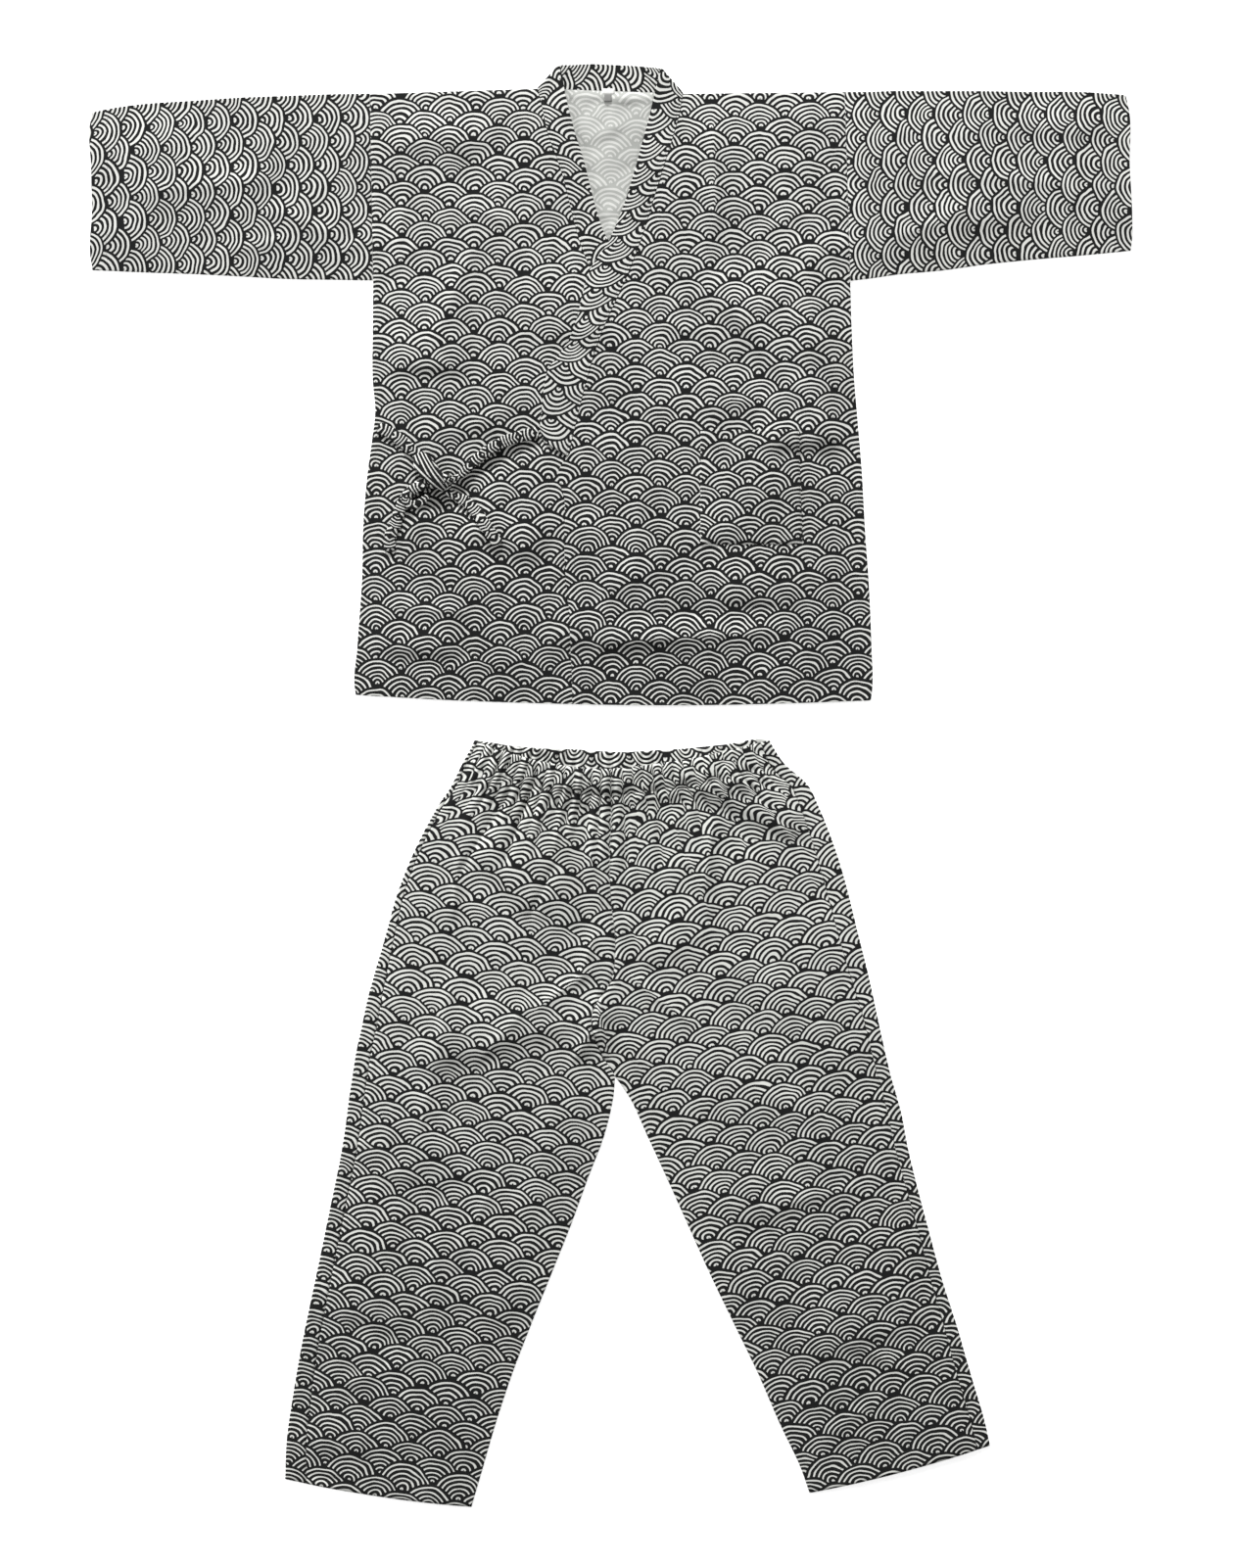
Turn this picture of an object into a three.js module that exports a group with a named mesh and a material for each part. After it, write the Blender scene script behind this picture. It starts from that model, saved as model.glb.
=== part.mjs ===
// A wrap-over kimono shirt and elastic-waisted trousers, laid flat, the shirt above the trousers.
// Millimetres. +X is to the viewer's right, +Y is towards the shirt's shoulders and +Z is up from
// the surface that both lie on. The origin is the middle of the whole outline, on that surface.
// Every piece is a wall of cloth: a middle surface, thickened along its own normals.
import * as THREE from 'three';

// Driving sizes
const CLOTH = 1.0; // wall of one layer of cloth
const BAND = 1.4; // wall of the doubled collar band
const GAP = 0.3; // between pieces that are sewn or lie on each other
const SHOULDER = 849; // height of the shoulder fold above the origin
const ARMHOLE_LOW = 619; // height of the underarm corner
const CASING_WIDTH = 32; // depth of the turned-in casing at the trousers' waist
const GATHERS_A_PANEL = 15; // gathers in one front panel's half of the waist
const GATHER_HEIGHT = 2.2; // crest above trough at the casing
const GATHER_FADE = 125; // the gathers die away this far below the casing
const LOFT = 2.2; // how far the upper layer stands off inside the edges
const LOFT_REACH = 55; // distance from an edge at which that loft is full
const COVER_REACH = 60; // distance in which the left front comes down beside the right one

// Heights of the middle surfaces
const LOW = CLOTH / 2; // panels that lie on the floor
const STEP = CLOTH + GAP; // from one layer to the next
const UPPER = LOW + STEP; // upper layer of shirt, sleeves and trousers
const BAND_LOW = BAND / 2;
const BAND_ON_BACK = CLOTH + GAP + BAND / 2;
const CROSSING = BAND + 2 * GAP; // rise of what lies over the hidden collar and the right front

const print = new THREE.MeshStandardMaterial({ color: 0x8a8b87, roughness: 0.93, metalness: 0 });
const wrongSide = new THREE.MeshStandardMaterial({ color: 0xb9bab6, roughness: 0.95, metalness: 0 });
const white = new THREE.MeshStandardMaterial({ color: 0xf0f0ec, roughness: 0.9, metalness: 0 });

// Plain helpers
const clamp = (v, low, high) => Math.min(high, Math.max(low, v));
const mix = (a, b, t) => a + (b - a) * t;

function smooth(edge0, edge1, v) {
  const t = clamp((v - edge0) / (edge1 - edge0), 0, 1);
  return t * t * (3 - 2 * t);
}

/** A table's value at a key, straight between its rows. The keys rise or fall. */
function lookUp(table, key, name, at) {
  const rising = table[table.length - 1][key] > table[0][key];
  const rows = rising ? table : [...table].reverse();
  const v = clamp(at, rows[0][key], rows[rows.length - 1][key]);
  const i = Math.max(1, rows.findIndex((row) => row[key] >= v));
  const a = rows[i - 1];
  const b = rows[i];
  return mix(a[name], b[name], (v - a[key]) / (b[key] - a[key]));
}

/** Distance from a point to a line through the rows of a table with x and y. */
function distanceTo(line, x, y) {
  let least = Infinity;
  for (let i = 1; i < line.length; i += 1) {
    const a = line[i - 1];
    const b = line[i];
    const dx = b.x - a.x;
    const dy = b.y - a.y;
    const t = clamp(((x - a.x) * dx + (y - a.y) * dy) / (dx * dx + dy * dy), 0, 1);
    least = Math.min(least, Math.hypot(x - a.x - dx * t, y - a.y - dy * t));
  }
  return least;
}

function isInside(outline, x, y) {
  let inside = false;
  for (let i = 0, j = outline.length - 1; i < outline.length; j = i, i += 1) {
    const a = outline[i];
    const b = outline[j];
    const crosses = a.y > y !== b.y > y;
    if (crosses && x < ((b.x - a.x) * (y - a.y)) / (b.y - a.y) + a.x) inside = !inside;
  }
  return inside;
}

/** Even steps from a to b, both ends in. */
const steps = (a, b, count) => Array.from({ length: count + 1 }, (_, i) => mix(a, b, i / count));

// Cloth from a middle surface
// grid is rows of points; rows may differ in how many they hold. A ring row closes on itself.
function cloth(grid, thickness, { ring = false } = {}) {
  const starts = [];
  const points = [];
  for (const row of grid) {
    starts.push(points.length);
    points.push(...row);
  }
  const triangles = [];
  for (let r = 1; r < grid.length; r += 1) {
    joinRows(triangles, starts[r - 1], grid[r - 1], starts[r], grid[r], ring);
  }
  return thicken(points, triangles, thickness);
}

/** Fills the stretch between two rows, stepping along whichever is behind. */
function joinRows(triangles, startA, rowA, startB, rowB, ring) {
  const lastA = ring ? rowA.length : rowA.length - 1;
  const lastB = ring ? rowB.length : rowB.length - 1;
  let a = 0;
  let b = 0;
  while (a < lastA || b < lastB) {
    const atA = startA + (a % rowA.length);
    const atB = startB + (b % rowB.length);
    const alongA = a < lastA && (b === lastB || (a + 1) / lastA <= (b + 1) / lastB);
    if (alongA) {
      a += 1;
      triangles.push([atA, atB, startA + (a % rowA.length)]);
    } else {
      b += 1;
      triangles.push([atA, atB, startB + (b % rowB.length)]);
    }
  }
}

function thicken(points, triangles, thickness) {
  const normals = points.map(() => new THREE.Vector3());
  const uses = new Map();
  for (const [a, b, c] of triangles) {
    const ab = new THREE.Vector3().subVectors(points[b], points[a]);
    const ac = new THREE.Vector3().subVectors(points[c], points[a]);
    const face = ab.cross(ac);
    for (const i of [a, b, c]) normals[i].add(face);
    for (const [i, j] of [[a, b], [b, c], [c, a]]) uses.set(`${i},${j}`, [i, j]);
  }
  const rims = [...uses.values()].filter(([i, j]) => !uses.has(`${j},${i}`));
  const count = points.length;
  const corners = new Float32Array(count * 6);
  points.forEach((p, i) => {
    const n = normals[i].normalize().multiplyScalar(thickness / 2);
    corners.set([p.x + n.x, p.y + n.y, p.z + n.z], i * 3);
    corners.set([p.x - n.x, p.y - n.y, p.z - n.z], (count + i) * 3);
  });
  const index = [];
  for (const [a, b, c] of triangles) index.push(a, b, c, count + a, count + c, count + b);
  for (const [i, j] of rims) index.push(i, count + j, j, i, count + i, count + j);
  const geometry = new THREE.BufferGeometry();
  geometry.setAttribute('position', new THREE.BufferAttribute(corners, 3));
  geometry.setIndex(index);
  return geometry;
}

const point = (x, y, z) => new THREE.Vector3(x, y, z);

// Outlines of the shirt, from the top down. x is to the viewer's right.
const LEFT_SIDE = [
  { y: 619, x: -291.5 }, { y: 567, x: -292 }, { y: 495, x: -292 }, { y: 459, x: -289 },
  { y: 423, x: -293 }, { y: 387, x: -298 }, { y: 315, x: -304 }, { y: 259, x: -305 },
  { y: 171, x: -311 }, { y: 118, x: -314 }, { y: 104, x: -311 },
];
const RIGHT_SIDE = [
  { y: 619, x: 293 }, { y: 567, x: 294.5 }, { y: 495, x: 298 }, { y: 459, x: 301 },
  { y: 387, x: 307 }, { y: 315, x: 311 }, { y: 243, x: 316 }, { y: 171, x: 319 },
  { y: 120, x: 320 }, { y: 104, x: 318 },
];
const HEM = [
  { x: -320, y: 112 }, { x: -270, y: 109 }, { x: -173, y: 104 }, { x: -77, y: 101 },
  { x: 20, y: 99 }, { x: 115, y: 99 }, { x: 211, y: 101 }, { x: 325, y: 105 },
];
const SHIRT_TOP = [
  { x: -296, y: 847.5 }, { x: -90, y: 854 }, { x: 87, y: 847.8 }, { x: 290, y: 850 },
];
const LEFT_ARMHOLE = [{ y: 850, x: -295.5 }, { y: 618, x: -291.5 }];
const RIGHT_ARMHOLE = [{ y: 850, x: 286 }, { y: 618, x: 293 }];

// Sleeves: upper and lower edge along x, and the cuff's own line
const LEFT_SLEEVE = [
  { x: -640, top: 824, low: 632 }, { x: -618, top: 829, low: 631 }, { x: -575, top: 835, low: 629 },
  { x: -515, top: 839, low: 627 }, { x: -455, top: 843, low: 624 }, { x: -400, top: 845, low: 621 },
  { x: -345, top: 847, low: 620 }, { x: -288, top: 848, low: 619 },
];
const RIGHT_SLEEVE = [
  { x: 284, top: 850, low: 618 }, { x: 318, top: 850, low: 622 }, { x: 345, top: 851, low: 626 },
  { x: 400, top: 851, low: 631 }, { x: 460, top: 851, low: 639 }, { x: 520, top: 850, low: 645 },
  { x: 580, top: 850, low: 650 }, { x: 640, top: 846, low: 656 },
];
const LEFT_CUFF = [
  { y: 830, x: -634 }, { y: 810, x: -638.5 }, { y: 760, x: -637 }, { y: 700, x: -636 },
  { y: 650, x: -638 }, { y: 630, x: -635 },
];
const RIGHT_CUFF = [
  { y: 850, x: 629 }, { y: 835, x: 633 }, { y: 760, x: 635 }, { y: 700, x: 638 },
  { y: 670, x: 638 }, { y: 654, x: 636 },
];

// The collar band, from its hidden end on the right front round the neck to its slanted end.
// seam is sewn to the shirt, free is the open edge. layer 0 lies on the floor behind the neck,
// 1 on the back, and 2 crosses over what lies on the back. Both turns are where layer is 0.5.
const COLLAR = [
  { seamX: 50, seamY: 399, freeX: 92, freeY: 412, layer: 1 },
  { seamX: 37, seamY: 466, freeX: 80, freeY: 478, layer: 1 },
  { seamX: 17, seamY: 535, freeX: 59, freeY: 547, layer: 1 },
  { seamX: 4, seamY: 571, freeX: 44, freeY: 588, layer: 1 },
  { seamX: -22, seamY: 626, freeX: 16, freeY: 646, layer: 1 },
  { seamX: -36, seamY: 660, freeX: -5, freeY: 671, layer: 1 },
  { seamX: -46, seamY: 694, freeX: -16, freeY: 699, layer: 1 },
  { seamX: -56, seamY: 736, freeX: -26, freeY: 736, layer: 1 },
  { seamX: -67, seamY: 771, freeX: -34, freeY: 768, layer: 1 },
  { seamX: -77, seamY: 798, freeX: -43, freeY: 796, layer: 1 },
  { seamX: -83, seamY: 826, freeX: -51, freeY: 826, layer: 1 },
  { seamX: -87, seamY: 843, freeX: -57, freeY: 852, layer: 1 },
  { seamX: -88.4, seamY: 850, freeX: -60, freeY: 870, layer: 1 },
  { seamX: -88.9, seamY: 854.4, freeX: -62.9, freeY: 883.4, layer: 1 },
  { seamX: -89.6, seamY: 855, freeX: -63.6, freeY: 884, layer: 0.5 },
  { seamX: -88.9, seamY: 854.4, freeX: -62.9, freeY: 883.4, layer: 0 },
  { seamX: -76, seamY: 853.9, freeX: -56, freeY: 883.2, layer: 0 },
  { seamX: -56, seamY: 853.2, freeX: -44, freeY: 883.4, layer: 0 },
  { seamX: -28, seamY: 852.2, freeX: -24, freeY: 884.4, layer: 0 },
  { seamX: 0, seamY: 851.2, freeX: 0, freeY: 883.4, layer: 0 },
  { seamX: 28, seamY: 850.3, freeX: 22, freeY: 882.4, layer: 0 },
  { seamX: 53, seamY: 849.4, freeX: 40, freeY: 881, layer: 0 },
  { seamX: 72, seamY: 848.7, freeX: 52, freeY: 880, layer: 0 },
  { seamX: 87.3, seamY: 848.3, freeX: 60.3, freeY: 878.9, layer: 0 },
  { seamX: 88, seamY: 848.9, freeX: 61, freeY: 879.5, layer: 0.5 },
  { seamX: 87.3, seamY: 848.3, freeX: 60.3, freeY: 878.9, layer: 1 },
  { seamX: 86.8, seamY: 843, freeX: 57, freeY: 864, layer: 1 },
  { seamX: 86, seamY: 838, freeX: 53, freeY: 848, layer: 1 },
  { seamX: 83, seamY: 821, freeX: 47, freeY: 821, layer: 1 },
  { seamX: 75, seamY: 793, freeX: 38, freeY: 788, layer: 1 },
  { seamX: 66, seamY: 764, freeX: 29, freeY: 755, layer: 1 },
  { seamX: 53, seamY: 722, freeX: 16, freeY: 713, layer: 1 },
  { seamX: 39, seamY: 676, freeX: -3, freeY: 667, layer: 2 },
  { seamX: 20, seamY: 626, freeX: -27, freeY: 629, layer: 2 },
  { seamX: -5, seamY: 571, freeX: -45, freeY: 562, layer: 2 },
  { seamX: -19, seamY: 535, freeX: -62, freeY: 530, layer: 2 },
  { seamX: -32, seamY: 490, freeX: -79, freeY: 504, layer: 2 },
  { seamX: -43, seamY: 445, freeX: -86, freeY: 450, layer: 2 },
  { seamX: -49, seamY: 420, freeX: -86.5, freeY: 436, layer: 2 },
  { seamX: -53, seamY: 403, freeX: -82, freeY: 421, layer: 2 },
];
const seamOf = (first, last) => COLLAR.slice(first, last + 1).map((row) => ({
  x: row.seamX,
  y: row.seamY,
}));
const LEFT_TURN = COLLAR.findIndex((row) => row.layer === 0.5);
const RIGHT_TURN = COLLAR.findLastIndex((row) => row.layer === 0.5);
// The right front's edge: the hidden collar seam, then a plain hidden edge down to the hem
const UNDER_EDGE = [
  { x: -89, y: 854 },
  ...seamOf(0, LEFT_TURN - 2).reverse(),
  { x: 52, y: 350 },
  { x: 47, y: 104 },
];
// The left front's edge: the upper collar seam, then the open edge down to the hem
const OVER_EDGE = [
  { x: 87.4, y: 850 },
  ...seamOf(RIGHT_TURN + 2, COLLAR.length - 1),
  { x: -57, y: 399 },
  { x: -57, y: 345 },
  { x: -57, y: 270 },
  { x: -52, y: 215 },
  { x: -50, y: 165 },
  { x: -48, y: 120 },
  { x: -48, y: 98 },
];
// What lies between the back and the left front: the right front with the hidden collar on it
const COVERED = [
  { x: -320, y: 850 }, { x: -90, y: 850 }, { x: -77, y: 797 }, { x: -46, y: 694 },
  ...COLLAR.slice(0, 6).reverse().map((row) => ({ x: row.freeX, y: row.freeY })),
  { x: 56, y: 385 }, { x: 52, y: 350 }, { x: 48, y: 98 }, { x: 47, y: 60 }, { x: -320, y: 60 },
];

// Edges at which the upper layer meets the lower one
const SHIRT_EDGES = [
  LEFT_SIDE,
  RIGHT_SIDE,
  LEFT_SLEEVE.map((row) => ({ x: row.x, y: row.top })),
  LEFT_SLEEVE.map((row) => ({ x: row.x, y: row.low })),
  RIGHT_SLEEVE.map((row) => ({ x: row.x, y: row.top })),
  RIGHT_SLEEVE.map((row) => ({ x: row.x, y: row.low })),
  SHIRT_TOP.slice(0, 2),
  SHIRT_TOP.slice(-2),
];

// Largest folds of the upper layer: a soft ridge, or a trough where height is below zero.
// turn is the angle of its line from +X, in degrees.
const SHIRT_FOLDS = [
  { x: 105, y: 183, turn: 4, length: 290, width: 17, height: 1.5 },
  { x: 110, y: 212, turn: 4, length: 270, width: 16, height: -1.2 },
  { x: -225, y: 216, turn: -3, length: 120, width: 15, height: 1.4 },
  { x: 127, y: 745, turn: 91, length: 170, width: 15, height: 1.5 },
  { x: -200, y: 800, turn: -52, length: 110, width: 16, height: 1.4 },
  { x: 215, y: 590, turn: -62, length: 190, width: 22, height: 1.2 },
  { x: -195, y: 600, turn: 66, length: 170, width: 22, height: 1.2 },
  { x: -500, y: 735, turn: 6, length: 210, width: 24, height: 1.2 },
  { x: 470, y: 745, turn: -5, length: 230, width: 26, height: 1.2 },
  { x: 395, y: 690, turn: 22, length: 130, width: 18, height: 1.0 },
  { x: -375, y: 690, turn: -24, length: 120, width: 18, height: 1.0 },
];
const TROUSER_FOLDS = [
  { x: 119, y: -85, turn: 83, length: 120, width: 12, height: 1.5 },
  { x: -12, y: -290, turn: 100, length: 100, width: 10, height: 1.5 },
  { x: -60, y: -250, turn: 35, length: 110, width: 14, height: 1.4 },
  { x: 60, y: -262, turn: -38, length: 120, width: 14, height: 1.4 },
  { x: -215, y: -330, turn: 78, length: 260, width: 24, height: 1.2 },
  { x: 225, y: -330, turn: -76, length: 240, width: 24, height: 1.2 },
  { x: -225, y: -620, turn: 76, length: 300, width: 28, height: 1.1 },
  { x: 270, y: -620, turn: -72, length: 300, width: 28, height: 1.1 },
];

function foldsAt(folds, x, y) {
  return folds.reduce((sum, fold) => {
    const turn = THREE.MathUtils.degToRad(fold.turn);
    const along = (x - fold.x) * Math.cos(turn) + (y - fold.y) * Math.sin(turn);
    const across = (y - fold.y) * Math.cos(turn) - (x - fold.x) * Math.sin(turn);
    const end = 1 - smooth(0.25, 0.5, Math.abs(along) / fold.length);
    return sum + fold.height * end * Math.exp(-((across / fold.width) ** 2));
  }, 0);
}

/** How far the upper layer stands above its lowest place: none at the edges. */
function liftOf(edges, folds, x, y) {
  const away = Math.min(...edges.map((edge) => distanceTo(edge, x, y)));
  const room = smooth(0, LOFT_REACH, away);
  return Math.max(0, (LOFT + foldsAt(folds, x, y)) * room);
}
const shirtLift = (x, y) => liftOf(SHIRT_EDGES, SHIRT_FOLDS, x, y);

/** 1 over the right front and the hidden collar, falling to 0 past their edge. */
function covering(x, y) {
  if (isInside(COVERED, x, y)) return 1;
  return 1 - smooth(COVER_REACH / 2, COVER_REACH, distanceTo([...COVERED, COVERED[0]], x, y));
}

// Shirt panels: level rows, of columns from the left edge to the right
const SHIRT_BOTTOM = 99;
const UNDERARM_LEVELS = [ARMHOLE_LOW + 1, ARMHOLE_LOW - 19];
const HEM_LEVELS = [310, 260, 225, 205, 183, 160, 130, SHIRT_BOTTOM];
const BACK_LEVELS = [SHOULDER, 768, 700, ...UNDERARM_LEVELS, 571, 495, 430, 370, ...HEM_LEVELS];
const EDGE_REACH = 30; // the rows bend to the top and hem edges within this distance of them
const ROW_ROOM = 4; // least distance between two levels near the shoulder
const HEM_ROOM = 20; // and between a seam's lowest level and the hem's first

/** A front's levels: those of its collar seam, the underarm and the hem. */
const levelsAlong = (edge) => [
  SHOULDER,
  ...edge.map((row) => row.y).filter((y) => y < SHOULDER - ROW_ROOM && y > HEM_LEVELS[0] + HEM_ROOM),
  ...UNDERARM_LEVELS,
  ...HEM_LEVELS,
].sort((a, b) => b - a);

/** Fractions across a panel that put columns at the two neck points. */
function backColumns(left, right) {
  const [, neckLeft, neckRight] = SHIRT_TOP.map((row) => (row.x - left) / (right - left));
  return [
    ...steps(0, neckLeft, 3),
    ...steps(neckLeft, neckRight, 3).slice(1),
    ...steps(neckRight, 1, 3).slice(1),
  ];
}

function shirtPanel({ levels, left, right, columns, height }) {
  const bent = (level, x) => {
    const nearTop = smooth(SHOULDER - EDGE_REACH, SHOULDER, level);
    const nearHem = smooth(SHIRT_BOTTOM + EDGE_REACH, SHIRT_BOTTOM, level);
    const atTop = (lookUp(SHIRT_TOP, 'x', 'y', x) - SHOULDER) * nearTop;
    return level + atTop + (lookUp(HEM, 'x', 'y', x) - SHIRT_BOTTOM) * nearHem;
  };
  return levels.map((level) => {
    const x0 = left(bent(level, left(level)));
    const x1 = right(bent(level, right(level)));
    return columns.map((across) => {
      const x = mix(x0, x1, across);
      const y = bent(level, x);
      return point(x, y, height(x, y));
    });
  });
}

const sideOf = (armhole, side, inward) => (y) => (
  lookUp(y > ARMHOLE_LOW ? armhole : side, 'y', 'x', y) + inward
);
const leftEdge = sideOf(LEFT_ARMHOLE, LEFT_SIDE, GAP / 2);
const rightEdge = sideOf(RIGHT_ARMHOLE, RIGHT_SIDE, -GAP / 2);
const SEAM_ROOM = 0.4; // level gap at the collar's slanted seam
const clothHeight = (x, y) => UPPER + shirtLift(x, y);
const overHeight = (x, y) => clothHeight(x, y) + CROSSING * covering(x, y);

const shirtBack = () => cloth(shirtPanel({
  levels: BACK_LEVELS,
  left: leftEdge,
  right: rightEdge,
  columns: backColumns(leftEdge(SHOULDER), rightEdge(SHOULDER)),
  height: () => LOW,
}), CLOTH);

const shirtFrontRight = () => cloth(shirtPanel({
  levels: levelsAlong(UNDER_EDGE),
  left: leftEdge,
  right: (y) => lookUp(UNDER_EDGE, 'y', 'x', y) - SEAM_ROOM,
  columns: steps(0, 1, 9),
  height: clothHeight,
}), CLOTH);

const shirtFrontLeft = () => cloth(shirtPanel({
  levels: levelsAlong(OVER_EDGE),
  left: (y) => lookUp(OVER_EDGE, 'y', 'x', y) + SEAM_ROOM,
  right: rightEdge,
  columns: steps(0, 1, 13),
  height: overHeight,
}), CLOTH);

/** One ring round a sleeve: along the floor, round the top fold, back above, round the low one. */
function sleeveRing(top, low, xAt) {
  const turn = STEP / 2;
  const floor = steps(low + turn, top - turn, 8);
  return [
    ...floor.map((y) => point(xAt(y), y, LOW)),
    point(xAt(top), top, LOW + turn),
    ...floor.reverse().map((y) => point(xAt(y), y, clothHeight(xAt(y), y))),
    point(xAt(low), low, LOW + turn),
  ];
}

function sleeve(edges, from, to, count) {
  const middle = (SHOULDER + ARMHOLE_LOW) / 2;
  const rings = steps(0, 1, count).map((along) => {
    const x = mix(from(middle), to(middle), along);
    const top = lookUp(edges, 'x', 'top', x);
    const low = lookUp(edges, 'x', 'low', x);
    return sleeveRing(top, low, (y) => mix(from(y), to(y), along));
  });
  return cloth(rings, CLOTH, { ring: true });
}
const SLEEVE_RINGS = 9;
const sleeveRight = () => sleeve(
  LEFT_SLEEVE,
  (y) => lookUp(LEFT_ARMHOLE, 'y', 'x', y) - GAP / 2,
  (y) => lookUp(LEFT_CUFF, 'y', 'x', y),
  SLEEVE_RINGS,
);
const sleeveLeft = () => sleeve(
  RIGHT_SLEEVE,
  (y) => lookUp(RIGHT_CUFF, 'y', 'x', y),
  (y) => lookUp(RIGHT_ARMHOLE, 'y', 'x', y) + GAP / 2,
  SLEEVE_RINGS,
);

// The collar band turns over at the two shoulder points, so its surface is one folded ribbon
const RISE_TO_TURN = { from: 815, to: 843 }; // heights in which it rises on to its standing part
function collarHeight(layer, x, y) {
  const aboveStand = BAND_LOW + BAND + GAP;
  if (layer === 0) return BAND_LOW;
  if (layer === 0.5) return (BAND_LOW + aboveStand) / 2;
  const leaving = mix(BAND_ON_BACK, aboveStand, smooth(RISE_TO_TURN.from, RISE_TO_TURN.to, y));
  const onBack = Math.max(BAND_ON_BACK + shirtLift(x, y), leaving);
  return layer === 1 ? onBack : onBack + CROSSING * covering(x, y);
}

const collar = () => cloth(COLLAR.map((row) => steps(0, 1, 3).map((across) => {
  const x = mix(row.seamX, row.freeX, across);
  const y = mix(row.seamY, row.freeY, across);
  return point(x, y, collarHeight(row.layer, x, y));
})), BAND);

// Patch pocket on the left front, made from that panel's surface moved out
const POCKET = [
  { y: 436, left: 109.5, right: 230 },
  { y: 366, left: 109, right: 232 },
  { y: 296, left: 109.5, right: 235 },
];
const pocket = () => cloth(steps(POCKET[0].y, POCKET[2].y, 6).map((y) => {
  const left = lookUp(POCKET, 'y', 'left', y);
  const right = lookUp(POCKET, 'y', 'right', y);
  return steps(left, right, 7).map((x) => point(x, y, overHeight(x, y) + STEP + GAP));
}), CLOTH);

// Small plain tab at the back neckline, lying on the back and the standing collar
const TAB = { left: -11, right: 4, low: 847.5, top: 854 };
const neckTab = () => cloth([TAB.top, TAB.low].map((y) => (
  [TAB.left, TAB.right].map((x) => point(x, y, BAND + GAP + CLOTH / 2))
)), CLOTH);

// Ties: a scrunched strip along its route. wide and thick are its section there, and rise is its
// height above the cloth that it lies on.
const FRONT_TIE = [
  { x: -88.5, y: 433, wide: 13, thick: 2.2, rise: 0.3 },
  { x: -106, y: 429, wide: 14, thick: 2.6, rise: 0.3 },
  { x: -127, y: 423, wide: 14, thick: 2.8, rise: 0.5 },
  { x: -150, y: 411, wide: 13, thick: 3.0, rise: 1.0 },
  { x: -167, y: 397, wide: 12, thick: 3.0, rise: 1.6 },
  { x: -183, y: 382, wide: 10, thick: 3.4, rise: 2.6 },
  { x: -196, y: 374, wide: 6, thick: 4.0, rise: 3.0 },
  { x: -211, y: 373, wide: 6, thick: 4.0, rise: 3.0 },
  { x: -226, y: 372, wide: 6, thick: 4.0, rise: 3.0 },
  { x: -239, y: 366, wide: 12, thick: 3.0, rise: 1.8 },
  { x: -250, y: 355, wide: 14, thick: 2.6, rise: 0.8 },
  { x: -258, y: 339, wide: 14, thick: 2.6, rise: 0.3 },
  { x: -264, y: 321, wide: 14, thick: 2.6, rise: 0.3 },
  { x: -271, y: 303, wide: 14, thick: 2.6, rise: 0.3 },
  { x: -270, y: 287, wide: 13, thick: 2.4, rise: 0.3 },
];
const SIDE_TIE = [
  { x: -286, y: 440, wide: 13, thick: 2.2, rise: 0.3 },
  { x: -275, y: 435, wide: 14, thick: 2.4, rise: 0.3 },
  { x: -262, y: 427, wide: 14, thick: 2.6, rise: 0.3 },
  { x: -247, y: 414, wide: 14, thick: 2.6, rise: 0.3 },
  { x: -232, y: 402, wide: 12, thick: 2.6, rise: 0.3 },
  { x: -221, y: 389, wide: 9, thick: 2.4, rise: 0.3 },
];
const SIDE_TIE_END = [
  { x: -200, y: 362, wide: 9, thick: 2.4, rise: 0.3 },
  { x: -188, y: 354, wide: 12, thick: 2.6, rise: 0.3 },
  { x: -175, y: 346, wide: 14, thick: 2.6, rise: 0.3 },
  { x: -164, y: 334, wide: 14, thick: 2.6, rise: 0.3 },
  { x: -153, y: 317, wide: 14, thick: 2.6, rise: 0.3 },
  { x: -145, y: 306, wide: 14, thick: 2.6, rise: 0.3 },
  { x: -138, y: 295, wide: 13, thick: 2.4, rise: 0.3 },
];
// The side tie's one turn round the front tie, below it, over it and below it again
const KNOT = { x: -211, y: 373, out: 4.9, up: 3.9, middle: 5.1, advance: 13, wide: 9, thick: 2.0 };
const KNOT_STATIONS = 16;

function tieStation({ x, y, wide, thick, rise }) {
  const height = clothHeight(x, y) + CLOTH / 2 + rise + thick / 2;
  return { middle: point(x, y, height), wide, thick, across: null };
}

function knotStations() {
  const ground = clothHeight(KNOT.x, KNOT.y) + CLOTH / 2;
  return steps(0, 1, KNOT_STATIONS).map((part) => {
    const angle = 2 * Math.PI * part;
    const along = (part - 0.5) * KNOT.advance;
    const y = KNOT.y - KNOT.out * Math.sin(angle);
    const z = ground + KNOT.middle - KNOT.up * Math.cos(angle);
    const across = point(1, 0, 0);
    return { middle: point(KNOT.x + along, y, z), wide: KNOT.wide, thick: KNOT.thick, across };
  });
}

const STRIP_SIDES = 8;
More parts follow.
